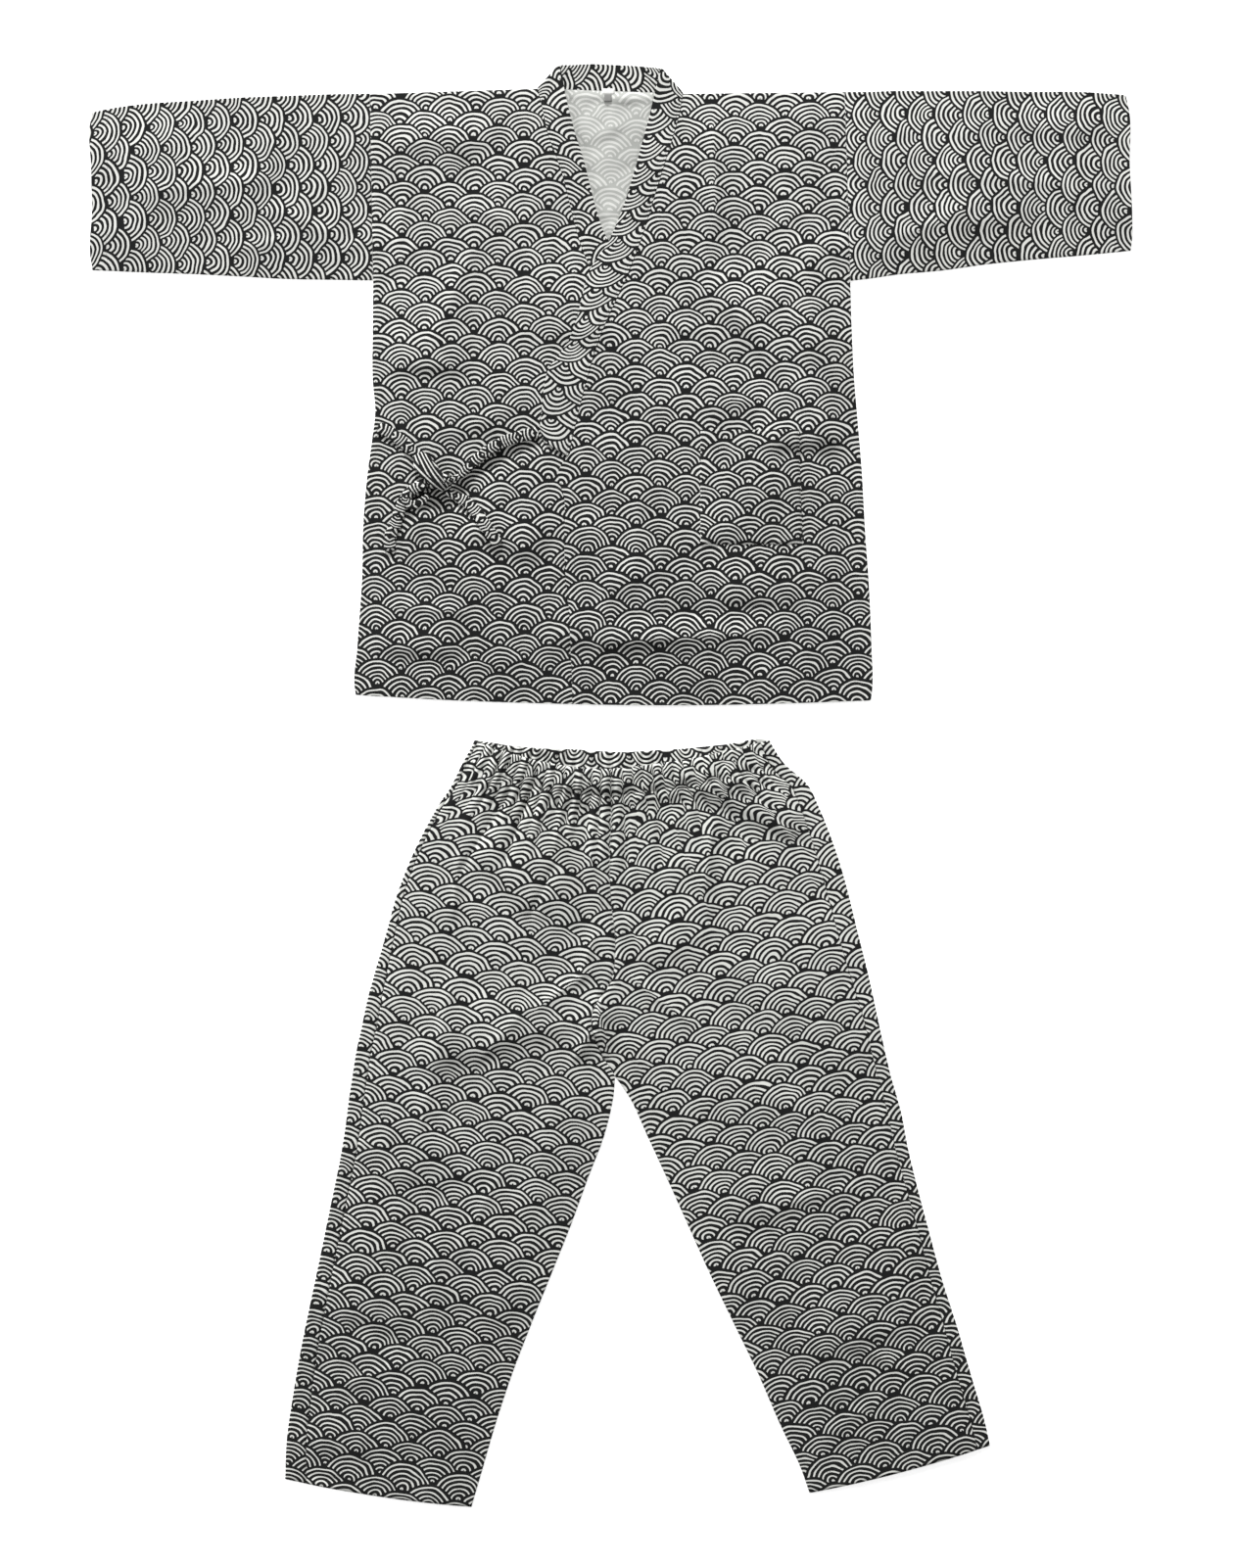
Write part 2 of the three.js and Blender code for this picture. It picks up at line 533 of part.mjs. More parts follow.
/** An oval section carried along a route and closed at both ends. */
function strip(stations) {
  const corners = [];
  stations.forEach((station, i) => {
    const before = stations[Math.max(0, i - 1)].middle;
    const after = stations[Math.min(stations.length - 1, i + 1)].middle;
    const ahead = new THREE.Vector3().subVectors(after, before).normalize();
    const across = (station.across ?? point(0, 0, 1).cross(ahead)).clone();
    across.addScaledVector(ahead, -across.dot(ahead)).normalize();
    const up = new THREE.Vector3().crossVectors(ahead, across);
    for (const angle of steps(0, 2 * Math.PI, STRIP_SIDES).slice(1)) {
      const corner = station.middle.clone()
        .addScaledVector(across, (Math.cos(angle) * station.wide) / 2)
        .addScaledVector(up, (Math.sin(angle) * station.thick) / 2);
      corners.push(corner.x, corner.y, corner.z);
    }
  });
  const index = [];
  for (let i = 1; i < stations.length; i += 1) {
    for (let k = 0; k < STRIP_SIDES; k += 1) {
      const next = (k + 1) % STRIP_SIDES;
      const a = (i - 1) * STRIP_SIDES;
      const b = i * STRIP_SIDES;
      index.push(a + k, a + next, b + k, a + next, b + next, b + k);
    }
  }
  const last = (stations.length - 1) * STRIP_SIDES;
  for (let k = 1; k < STRIP_SIDES - 1; k += 1) {
    index.push(0, k + 1, k);
    index.push(last, last + k, last + k + 1);
  }
  const geometry = new THREE.BufferGeometry();
  geometry.setAttribute('position', new THREE.Float32BufferAttribute(corners, 3));
  geometry.setIndex(index);
  return geometry;
}
const tieFront = () => strip(FRONT_TIE.map(tieStation));
const tieSide = () => strip([
  ...SIDE_TIE.map(tieStation),
  ...knotStations(),
  ...SIDE_TIE_END.map(tieStation),
]);

// Trousers. Each row runs from the outer edge to the inner one: the centre seam, then the inside
// leg. wrap is how far the back panel comes round to the front, sag how far the row dips.
const CENTRE = [
  { y: 60, x: 0 }, { y: -36, x: 0 }, { y: -92, x: -2 }, { y: -134, x: -1 }, { y: -190, x: 5 },
  { y: -236, x: 1 }, { y: -264, x: -17 }, { y: -290, x: -24 }, { y: -322, x: -15 }, { y: -356, x: 5 },
];
const centreAt = (y) => lookUp(CENTRE, 'y', 'x', y);
const withCentre = (rows) => rows.map((row) => ({ ...row, innerX: centreAt(row.innerY) }));
const LEFT_LEG = [
  ...withCentre([
    { innerY: 21, outerX: -166, outerY: 56, wrap: 3, sag: -9 },
    { innerY: -14, outerX: -182, outerY: 27, wrap: 4, sag: -6 },
    { innerY: -36, outerX: -197, outerY: -3, wrap: 5, sag: -3 },
    { innerY: -58, outerX: -212, outerY: -25, wrap: 5, sag: -2 },
    { innerY: -98, outerX: -238, outerY: -74, wrap: 6, sag: 0 },
    { innerY: -142, outerX: -261, outerY: -130, wrap: 8, sag: 0 },
    { innerY: -190, outerX: -277, outerY: -187, wrap: 11, sag: 0 },
    { innerY: -236, outerX: -291, outerY: -235, wrap: 15, sag: 0 },
    { innerY: -264, outerX: -299, outerY: -265, wrap: 17, sag: 0 },
    { innerY: -290, outerX: -305, outerY: -294, wrap: 18, sag: 0 },
    { innerY: -322, outerX: -312, outerY: -326, wrap: 18, sag: 0 },
    { innerY: -356, outerX: -317, outerY: -358, wrap: 18, sag: 0 },
  ]),
  { innerY: -386, innerX: 2, outerX: -321, outerY: -384, wrap: 18, sag: 0 },
  { innerY: -430, innerX: -9, outerX: -326, outerY: -423, wrap: 18, sag: 0 },
  { innerY: -480, innerX: -28, outerX: -333, outerY: -464, wrap: 18, sag: 0 },
  { innerY: -540, innerX: -50, outerX: -344, outerY: -517, wrap: 18, sag: 0 },
  { innerY: -600, innerX: -74, outerX: -355, outerY: -571, wrap: 18, sag: 0 },
  { innerY: -660, innerX: -98, outerX: -367, outerY: -628, wrap: 19, sag: 0 },
  { innerY: -720, innerX: -121, outerX: -379, outerY: -686, wrap: 20, sag: 0 },
  { innerY: -780, innerX: -141, outerX: -389, outerY: -744, wrap: 22, sag: 0 },
  { innerY: -835, innerX: -157, outerX: -397, outerY: -800, wrap: 24, sag: -2 },
  { innerY: -883, innerX: -171, outerX: -399, outerY: -849, wrap: 26, sag: -4 },
];
const RIGHT_LEG = [
  ...withCentre([
    { innerY: 21, outerX: 193, outerY: 56, wrap: 10, sag: -5 },
    { innerY: -14, outerX: 212, outerY: 27, wrap: 16, sag: -4 },
    { innerY: -36, outerX: 239, outerY: 3, wrap: 19, sag: -3 },
    { innerY: -58, outerX: 252, outerY: -21, wrap: 21, sag: -2 },
    { innerY: -98, outerX: 271, outerY: -68, wrap: 24, sag: 0 },
    { innerY: -142, outerX: 287, outerY: -119, wrap: 25, sag: 0 },
    { innerY: -190, outerX: 302, outerY: -180, wrap: 24, sag: 0 },
    { innerY: -236, outerX: 315, outerY: -232, wrap: 22, sag: 0 },
    { innerY: -264, outerX: 322, outerY: -264, wrap: 19, sag: 0 },
    { innerY: -290, outerX: 328, outerY: -292, wrap: 17, sag: 0 },
    { innerY: -322, outerX: 335, outerY: -324, wrap: 16, sag: 0 },
    { innerY: -356, outerX: 342, outerY: -354, wrap: 16, sag: 0 },
  ]),
  { innerY: -386, innerX: 25, outerX: 349, outerY: -378, wrap: 16, sag: 0 },
  { innerY: -430, innerX: 45, outerX: 356, outerY: -404, wrap: 16, sag: 0 },
  { innerY: -480, innerX: 68, outerX: 363, outerY: -442, wrap: 15, sag: 0 },
  { innerY: -540, innerX: 95, outerX: 375, outerY: -492, wrap: 13, sag: 0 },
  { innerY: -600, innerX: 122, outerX: 389, outerY: -545, wrap: 12, sag: 0 },
  { innerY: -660, innerX: 151, outerX: 405, outerY: -604, wrap: 13, sag: 0 },
  { innerY: -720, innerX: 180, outerX: 424, outerY: -664, wrap: 15, sag: 0 },
  { innerY: -780, innerX: 206, outerX: 441, outerY: -723, wrap: 16, sag: 0 },
  { innerY: -830, innerX: 230, outerX: 456, outerY: -773, wrap: 16, sag: -2 },
  { innerY: -866, innerX: 243, outerX: 464, outerY: -808, wrap: 16, sag: -4 },
];
// The back's own top edge, which stands above the front's
const BACK_WAIST = [
  { x: -168, y: 57 }, { x: -130, y: 50 }, { x: -88, y: 46 }, { x: -50, y: 45.5 }, { x: -19, y: 43 },
  { x: 18, y: 41.5 }, { x: 56, y: 44 }, { x: 92, y: 46 }, { x: 142, y: 51 }, { x: 179, y: 58 },
  { x: 196, y: 55 },
];
const CROTCH_ROW = 11; // the last row on the centre seam, where the legs part
const TROUSER_EDGES = [LEFT_LEG, RIGHT_LEG].flatMap((leg) => [
  leg.map((row) => ({ x: row.outerX, y: row.outerY })),
  leg.slice(CROTCH_ROW).map((row) => ({ x: row.innerX, y: row.innerY })),
]);
const trouserLift = (x, y) => liftOf(TROUSER_EDGES, TROUSER_FOLDS, x, y);

/** A point across a row, 0 at the outer edge and 1 at the inner, moved in from each seam. */
function onRow(row, across, outerRoom = 0, innerRoom = 0) {
  const span = Math.hypot(row.innerX - row.outerX, row.innerY - row.outerY);
  const t = mix(outerRoom / span, 1 - innerRoom / span, across);
  return {
    x: mix(row.outerX, row.innerX, t),
    y: mix(row.outerY, row.innerY, t) + row.sag * 4 * t * (1 - t),
  };
}

// Gathers: waves along the waist that share their columns from the casing down
const GATHER_COLUMNS = GATHERS_A_PANEL * 4;
const GATHER_START = 0.6; // the first wave's place in its turn, in radians
const UNEVEN = { share: 0.22, waves: 5.3, start: 1 }; // how the waves' depth varies across
const SIDE_FLAT = { from: 0.01, to: 0.09 }; // share of a row in which the first wave grows
const CASING_STEP = 1.45; // from layer to layer in the casing, on the waves' slopes
const CASING_EASE = { from: 4, to: 50 }; // below the casing, the front comes down to one layer
const CASING_SIDE = 0.06; // share of a row in which the casing's layers begin
function gatherWave(across) {
  const even = 0.5 - 0.5 * Math.cos(2 * Math.PI * GATHERS_A_PANEL * across + GATHER_START);
  const change = Math.sin(2 * Math.PI * UNEVEN.waves * across + UNEVEN.start);
  const depth = 1 - UNEVEN.share + UNEVEN.share * change;
  return GATHER_HEIGHT * even * depth * smooth(SIDE_FLAT.from, SIDE_FLAT.to, across);
}

function frontHeight(across, below, x, y) {
  const fading = 1 - smooth(CASING_WIDTH, CASING_WIDTH + GATHER_FADE, below);
  const onCasing = 1 - smooth(CASING_EASE.from, CASING_EASE.to, below - CASING_WIDTH);
  const stack = 2 * CASING_STEP * onCasing * smooth(0, CASING_SIDE, across);
  return UPPER + trouserLift(x, y) + stack + gatherWave(across) * fading;
}

const GATHER_ROWS = 6; // a leg's rows down to where the gathers have died away
const LEG_COLUMNS = 11;
function trouserFront(leg, outward) {
  const waist = leg[0];
  return cloth(leg.map((row, i) => {
    const columns = i < GATHER_ROWS ? GATHER_COLUMNS : LEG_COLUMNS;
    const points = steps(0, 1, columns).map((across) => {
      const { x, y } = onRow(row, across, row.wrap + GAP, GAP / 2);
      const below = onRow(waist, across).y - y;
      return point(x, y, frontHeight(across, below, x, y));
    });
    return outward < 0 ? points : points.reverse();
  }), CLOTH);
}

// A back panel lies on the floor, turns up at the outer edge and ends at the side seam in front
const BACK_WAIST_MIDDLE = 42;
function trouserBack(leg) {
  const turn = STEP / 2;
  return cloth(leg.map((row, i) => {
    const atWaist = i === 0;
    const lower = atWaist ? { ...row, innerY: BACK_WAIST_MIDDLE, sag: 0 } : row;
    const floor = steps(1, 0, 6).map((across) => onRow(lower, across, turn, GAP / 2));
    const wrapped = [turn, row.wrap].map((room) => onRow(row, 0, room));
    return [
      ...floor.map(({ x, y }) => point(x, atWaist ? lookUp(BACK_WAIST, 'x', 'y', x) : y, LOW)),
      point(row.outerX, row.outerY, LOW + turn),
      ...wrapped.map(({ x, y }) => point(x, y, UPPER + trouserLift(x, y))),
    ];
  }), CLOTH);
}

// Casings: the turned-in strips. Their columns run along the front's, so that the waves nest.
const CASING_FIRST = 5; // the gather column that a strip starts at, clear of the side fold
const CASING_SHARE = 0.92; // of the distance between the first two rows, at most
function casingColumns(leg) {
  const start = CASING_FIRST / GATHER_COLUMNS;
  return steps(start, 1, GATHER_COLUMNS - CASING_FIRST).map((across) => {
    const [edge, next] = leg.map((row) => onRow(row, across, row.wrap + GAP, GAP / 2));
    return { across, edge, lean: (next.x - edge.x) / (next.y - edge.y), deep: edge.y - next.y };
  });
}

function casing(edgeY, layer) {
  const columns = [...casingColumns(LEFT_LEG), ...casingColumns(RIGHT_LEG).reverse().slice(1)];
  return cloth(steps(0, 1, 2).map((down) => columns.map(({ across, edge, lean, deep }) => {
    const y = edgeY(edge) - down * Math.min(CASING_WIDTH, CASING_SHARE * deep);
    const x = edge.x + (y - edge.y) * lean;
    const height = UPPER + layer * CASING_STEP + trouserLift(x, y);
    return point(x, y, height + gatherWave(across));
  })), CLOTH);
}
const backEdge = ({ x }) => lookUp(BACK_WAIST, 'x', 'y', x) - GAP;
const frontEdge = ({ y }) => y - GAP;

const PIECES = [
  ['shirt_back', shirtBack, wrongSide],
  ['shirt_front_right', shirtFrontRight, print],
  ['shirt_front_left', shirtFrontLeft, print],
  ['sleeve_right', sleeveRight, print],
  ['sleeve_left', sleeveLeft, print],
  ['collar', collar, print],
  ['pocket', pocket, print],
  ['neck_tab', neckTab, white],
  ['tie_front', tieFront, print],
  ['tie_side', tieSide, print],
  ['trouser_front_right', () => trouserFront(LEFT_LEG, -1), print],
  ['trouser_front_left', () => trouserFront(RIGHT_LEG, 1), print],
  ['trouser_back_right', () => trouserBack(LEFT_LEG), print],
  ['trouser_back_left', () => trouserBack(RIGHT_LEG), print],
  ['waist_casing_back', () => casing(backEdge, 0), print],
  ['waist_casing_front', () => casing(frontEdge, 1), wrongSide],
];

const garment = new THREE.Group();
for (const [name, make, material] of PIECES) {
  const mesh = new THREE.Mesh(make(), material);
  mesh.name = name;
  garment.add(mesh);
}

export default garment;
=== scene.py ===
import math

import bpy
import numpy as np
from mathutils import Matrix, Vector
from mathutils.bvhtree import BVHTree


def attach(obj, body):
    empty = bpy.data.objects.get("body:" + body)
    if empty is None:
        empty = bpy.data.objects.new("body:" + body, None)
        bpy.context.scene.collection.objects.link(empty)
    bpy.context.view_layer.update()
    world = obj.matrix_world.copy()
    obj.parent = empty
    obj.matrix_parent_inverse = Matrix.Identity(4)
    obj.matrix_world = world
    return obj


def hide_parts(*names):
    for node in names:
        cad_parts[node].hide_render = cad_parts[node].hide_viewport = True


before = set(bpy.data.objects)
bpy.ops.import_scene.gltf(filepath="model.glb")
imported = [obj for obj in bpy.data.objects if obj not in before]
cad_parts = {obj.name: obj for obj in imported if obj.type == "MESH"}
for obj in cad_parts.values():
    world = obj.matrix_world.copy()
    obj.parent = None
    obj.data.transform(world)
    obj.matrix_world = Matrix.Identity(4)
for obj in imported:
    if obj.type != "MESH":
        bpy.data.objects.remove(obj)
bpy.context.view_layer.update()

# A wrap-over kimono shirt and elastic-waisted trousers, laid flat, in a cotton print of
# overlapping waves. Tables and shapes are in millimetres, and meshes are made in metres.
# +X is to the viewer's right, +Y towards the shirt's shoulders and +Z up from the floor.
# LEFT and RIGHT in the tables' names are the viewer's. Pieces are named by the wearer's sides, so
# the wearer's right sleeve is at the viewer's left.
MM = 0.001

# Driving sizes
WALL = 0.7  # one layer of cloth as it shows
BAND = 1.4  # the doubled collar band
GAP = 0.3  # between pieces
SHOULDER = 849
ARMHOLE_LOW = 619
SHIRT_BOTTOM = 99
CASING_WIDTH = 32
GATHERS_A_PANEL = 15
GATHER_HEIGHT = 2.2
GATHER_FADE = 125
LOFT = 2.2  # how far the upper layer stands off inside the edges
LOFT_REACH = 55
COVER_REACH = 60
HEM = 20  # depth of the hems of shirt, sleeves and legs

# Heights of the middle surfaces
STEP = 1.3  # from one layer to the next
LOW = 0.5
UPPER = LOW + STEP
BAND_LOW = BAND / 2
BAND_ON_BACK = STEP + BAND / 2
CROSSING = BAND + 2 * GAP  # rise over the hidden collar and the right front
CASING_STEP = 1.45

# Mesh density
PITCH = 4.0
EDGE_STEPS = (0.0, 0.5, 1.5)  # closer points beside an edge
ROLL = 0.55  # how far a sewn edge curls down to the layer below
ROLL_REACH = 2.0

# The print: waves in half-drop rows
WAVE_WIDTH = 60.6
ROW_PITCH = 16.8
RING_PITCH = 5.5
SLEEVE_PRINT = (WAVE_WIDTH / 57.0, 2 * ROW_PITCH / 34.2)  # across and along, against the body's
TROUSER_PRINT = (WAVE_WIDTH / 67.0, 2 * ROW_PITCH / 32.4)
LEFT_LEG_TURN = 10.0  # degrees by which a leg's rows fall towards the right
RIGHT_LEG_TURN = -15.5

# The photograph's frame, seen straight from above
IMAGE = (1260, 1601)
MM_PER_PIXEL = 1.2
VIEW_CENTRE = (7.2, 2.4)
CAMERA_HEIGHT = 6.0
SENSOR = 24.0

# Lamps as (name, place, size, power), in metres and watts: low ones past the top and the left
LAMPS = [
    ("key", (-1.2, 8.4, 3.5), 1.1, 1060),
    ("side", (-6.5, 0.6, 2.0), 1.2, 235),
    ("fill", (4.5, 2.0, 4.5), 3.0, 75),
]
AMBIENT = 0.27
FLOOR_SIZE = 40
FLOOR_LOOK = {
    "Base Color": (0.86, 0.86, 0.86, 1), "Emission Color": (1, 1, 1, 1), "Emission Strength": 0.62,
    "Roughness": 0.9, "Specular IOR Level": 0.1,
}


def smooth(low, high, v):
    t = np.clip((np.asarray(v, float) - low) / (high - low), 0, 1)
    return t * t * (3 - 2 * t)


def mix(a, b, t):
    return a + (b - a) * t


def straight(table, at, key=0, value=1):
    """A table's value at a key, straight between its rows."""
    rows = sorted(table, key=lambda row: row[key])
    return np.interp(at, [row[key] for row in rows], [row[value] for row in rows])


def curve(keys, values, at):
    """A smooth curve through values at rising keys."""
    keys = np.asarray(keys, float)
    values = np.asarray(values, float)
    at = np.clip(at, keys[0], keys[-1])
    slopes = np.gradient(values, keys)
    i = np.clip(np.searchsorted(keys, at) - 1, 0, len(keys) - 2)
    step = keys[i + 1] - keys[i]
    t = (at - keys[i]) / step
    ends = (2 * t**3 - 3 * t**2 + 1) * values[i] + (3 * t**2 - 2 * t**3) * values[i + 1]
    leaving = (t**3 - 2 * t**2 + t) * slopes[i] + (t**3 - t**2) * slopes[i + 1]
    return ends + step * leaving


def curved(table, at, key=0, value=1):
    rows = sorted(table, key=lambda row: row[key])
    return curve([row[key] for row in rows], [row[value] for row in rows], at)


def together(*parts):
    """Grids of equal size as one grid of points or places."""
    return np.stack(parts, axis=-1)


def gone_along(points):
    """How far along a line of points each of them lies."""
    return np.concatenate([[0], np.cumsum(np.linalg.norm(np.diff(points, axis=0), axis=1))])


def closer_rows(table, turns, pitch, curves=6):
    """A table's rows, closer together and smooth between the turns. The first two columns are a
    place, and the columns past the curves stay straight."""
    table = np.array(table, float)
    rows = []
    ends = [0, *turns, len(table) - 1]
    for first, last in zip(ends, ends[1:]):
        part = table[first:last + 1]
        keys = np.arange(len(part))
        for i in range(len(part) - 1):
            length = np.hypot(*(part[i + 1, :2] - part[i, :2]))
            at = i + np.arange(0, 1, 1 / max(2, round(length / pitch)))
            line = [curve(keys, column, at) for column in part.T[:curves]]
            line += [np.interp(at, keys, column) for column in part.T[curves:]]
            rows.append(together(*line))
    return np.concatenate(rows + [table[-1:]])


def distance_to(line, x, y):
    """Distance from points to a line through (x, y) corners."""
    least = np.full(np.shape(x), np.inf)
    for (ax, ay), (bx, by) in zip(line, line[1:]):
        dx, dy = bx - ax, by - ay
        t = np.clip(((x - ax) * dx + (y - ay) * dy) / (dx * dx + dy * dy), 0, 1)
        least = np.minimum(least, np.hypot(x - ax - dx * t, y - ay - dy * t))
    return least


def inside(outline, x, y):
    within = np.zeros(np.shape(x), bool)
    for (ax, ay), (bx, by) in zip(outline, outline[-1:] + outline[:-1]):
        if ay == by:
            continue
        crosses = (ay > y) != (by > y)
        within ^= crosses & (x < (bx - ax) * (y - ay) / (by - ay) + ax)
    return within


def hills(x, y, size, seed, waves=9):
    """Smooth uneven hills about 1 high, as a sum of waves in seeded directions."""
    draw = np.random.default_rng(seed)
    total = np.zeros(np.broadcast(x, y).shape)
    turns = draw.uniform(0, 2 * math.pi, waves)
    lengths = size * draw.uniform(0.7, 1.5, waves)
    starts = draw.uniform(0, 2 * math.pi, waves)
    for turn, length, start in zip(turns, lengths, starts):
        along = x * math.cos(turn) + y * math.sin(turn)
        total += np.sin(2 * math.pi * along / length + start)
    return total / math.sqrt(waves)


# Outlines of the shirt as (y, x) or (x, y), each table's first column being its key
LEFT_SIDE = [
    (619, -291.5), (567, -292), (495, -292), (459, -289), (423, -293), (387, -298),
    (315, -304), (259, -305), (171, -311), (118, -314), (104, -311),
]
RIGHT_SIDE = [
    (619, 293), (567, 294.5), (495, 298), (459, 301), (387, 307), (315, 311),
    (243, 316), (171, 319), (120, 320), (104, 318),
]
HEM_LINE = [
    (-320, 112), (-270, 109), (-173, 104), (-77, 101), (20, 99), (115, 99), (211, 101), (325, 105),
]
SHIRT_TOP = [(-296, 847.5), (-90, 854), (87, 847.8), (290, 850)]
LEFT_ARMHOLE = [(850, -295.5), (618, -291.5)]
RIGHT_ARMHOLE = [(850, 286), (618, 293)]

# Sleeves as (x, top, low), and each cuff as (y, x)
LEFT_SLEEVE = [
    (-640, 824, 632), (-618, 829, 631), (-575, 835, 629), (-515, 839, 627), (-455, 843, 624),
    (-400, 845, 621), (-345, 847, 620), (-288, 848, 619),
]
RIGHT_SLEEVE = [
    (284, 850, 618), (318, 850, 622), (345, 851, 626), (400, 851, 631), (460, 851, 639),
    (520, 850, 645), (580, 850, 650), (640, 846, 656),
]
LEFT_CUFF = [(830, -634), (810, -638.5), (760, -637), (700, -636), (650, -638), (630, -635)]
RIGHT_CUFF = [(850, 629), (835, 633), (760, 635), (700, 638), (670, 638), (654, 636)]

# The collar band as (seam x, seam y, free x, free y, layer), from its hidden end on the right
# front round the neck to its slanted end
COLLAR = [
    (50, 399, 92, 412, 1), (37, 466, 80, 478, 1), (17, 535, 59, 547, 1), (4, 571, 44, 588, 1),
    (-22, 626, 16, 646, 1), (-36, 660, -5, 671, 1), (-46, 694, -16, 699, 1),
    (-56, 736, -26, 736, 1), (-67, 771, -34, 768, 1), (-77, 798, -43, 796, 1),
    (-83, 826, -51, 826, 1), (-87, 843, -57, 852, 1), (-88.4, 850, -60, 870, 1),
    (-88.9, 854.4, -62.9, 883.4, 1),
    (-89.6, 855, -63.6, 884, 0.5),
    (-88.9, 854.4, -62.9, 883.4, 0), (-76, 853.9, -56, 883.2, 0), (-56, 853.2, -44, 883.4, 0),
    (-28, 852.2, -24, 884.4, 0), (0, 851.2, 0, 883.4, 0), (28, 850.3, 22, 882.4, 0),
    (53, 849.4, 40, 881, 0), (72, 848.7, 52, 880, 0), (87.3, 848.3, 60.3, 878.9, 0),
    (88, 848.9, 61, 879.5, 0.5),
    (87.3, 848.3, 60.3, 878.9, 1), (86.8, 843, 57, 864, 1), (86, 838, 53, 848, 1),
    (83, 821, 47, 821, 1), (75, 793, 38, 788, 1), (66, 764, 29, 755, 1), (53, 722, 16, 713, 1),
    (39, 676, -3, 667, 2), (20, 626, -27, 629, 2), (-5, 571, -45, 562, 2), (-19, 535, -62, 530, 2),
    (-32, 490, -79, 504, 2), (-43, 445, -86, 450, 2), (-49, 420, -86.5, 436, 2),
    (-53, 403, -82, 421, 2),
]
LEFT_TURN = 14  # the rows where the band turns over
RIGHT_TURN = 24
UNDER_EDGE = [(854, -89)] + [
    (row[1], row[0]) for row in reversed(COLLAR[:LEFT_TURN - 1])
] + [(350, 52), (104, 47)]
OVER_EDGE = [(850, 87.4)] + [
    (row[1], row[0]) for row in COLLAR[RIGHT_TURN + 2:]
] + [(399, -57), (345, -57), (270, -57), (215, -52), (165, -50), (120, -48), (98, -48)]
COVERED = [(-320, 850), (-90, 850), (-77, 797), (-46, 694)] + [
    (row[2], row[3]) for row in reversed(COLLAR[:6])
] + [(56, 385), (52, 350), (48, 98), (47, 60), (-320, 60)]


def flipped(table):
    return [(row[1], row[0]) for row in table]


SHIRT_EDGES = [flipped(LEFT_SIDE), flipped(RIGHT_SIDE), SHIRT_TOP[:2], SHIRT_TOP[-2:]] + [
    [(row[0], row[column]) for row in table]
    for table in (LEFT_SLEEVE, RIGHT_SLEEVE) for column in (1, 2)
]

# Folds and creases as (x, y, turn, length, width, height, take): a soft ridge, or a trough where
# height is below zero. take is the width of cloth that the crease hides.
SHIRT_FOLDS = [
    (105, 183, 4, 290, 17, 1.5, 3), (110, 212, 4, 270, 16, -1.2, 0), (-225, 216, -3, 120, 15, 1.4, 3),
    (127, 745, 91, 170, 15, 1.5, 5), (-200, 800, -52, 110, 16, 1.4, 0),
    (215, 590, -62, 190, 22, 1.2, 0), (-195, 600, 66, 170, 22, 1.2, 0),
    (-500, 735, 6, 210, 24, 1.2, 0), (470, 745, -5, 230, 26, 1.2, 0),
    (395, 690, 22, 130, 18, 1.0, 0), (-375, 690, -24, 120, 18, 1.0, 0),
    (-118, 405, 25, 110, 9, -1.7, 1), (-209, 350, 8, 76, 11, -1.7, 0), (-140, 455, 28, 90, 7, 0.6, 1),
    (-158, 360, -38, 80, 8, 0.8, 1), (-262, 402, 62, 70, 6, 0.7, 1),
    (-236, 330, 74, 90, 8, 0.6, 1), (-95, 340, -70, 110, 9, 0.6, 1), (30, 300, 86, 160, 10, 0.7, 1),
    (-12, 190, 84, 110, 8, 0.6, 1), (262, 250, -80, 170, 12, 0.7, 1), (-255, 700, 82, 120, 9, 0.7, 1),
    (-150, 700, -20, 90, 9, 0.6, 1), (205, 690, 32, 110, 10, 0.6, 1), (250, 640, -48, 90, 7, 0.7, 1),
    (-258, 645, 40, 80, 7, 0.7, 1), (330, 655, -30, 70, 7, 0.7, 0), (-330, 652, 34, 70, 7, 0.7, 0),
    (560, 700, 80, 110, 9, 0.6, 0), (-585, 760, -84, 90, 8, 0.6, 0), (-440, 660, 12, 120, 8, 0.6, 0),
    (90, 560, -8, 120, 9, 0.5, 0), (160, 470, 5, 150, 9, 0.6, 1), (-150, 150, 6, 120, 8, 0.6, 1),
]
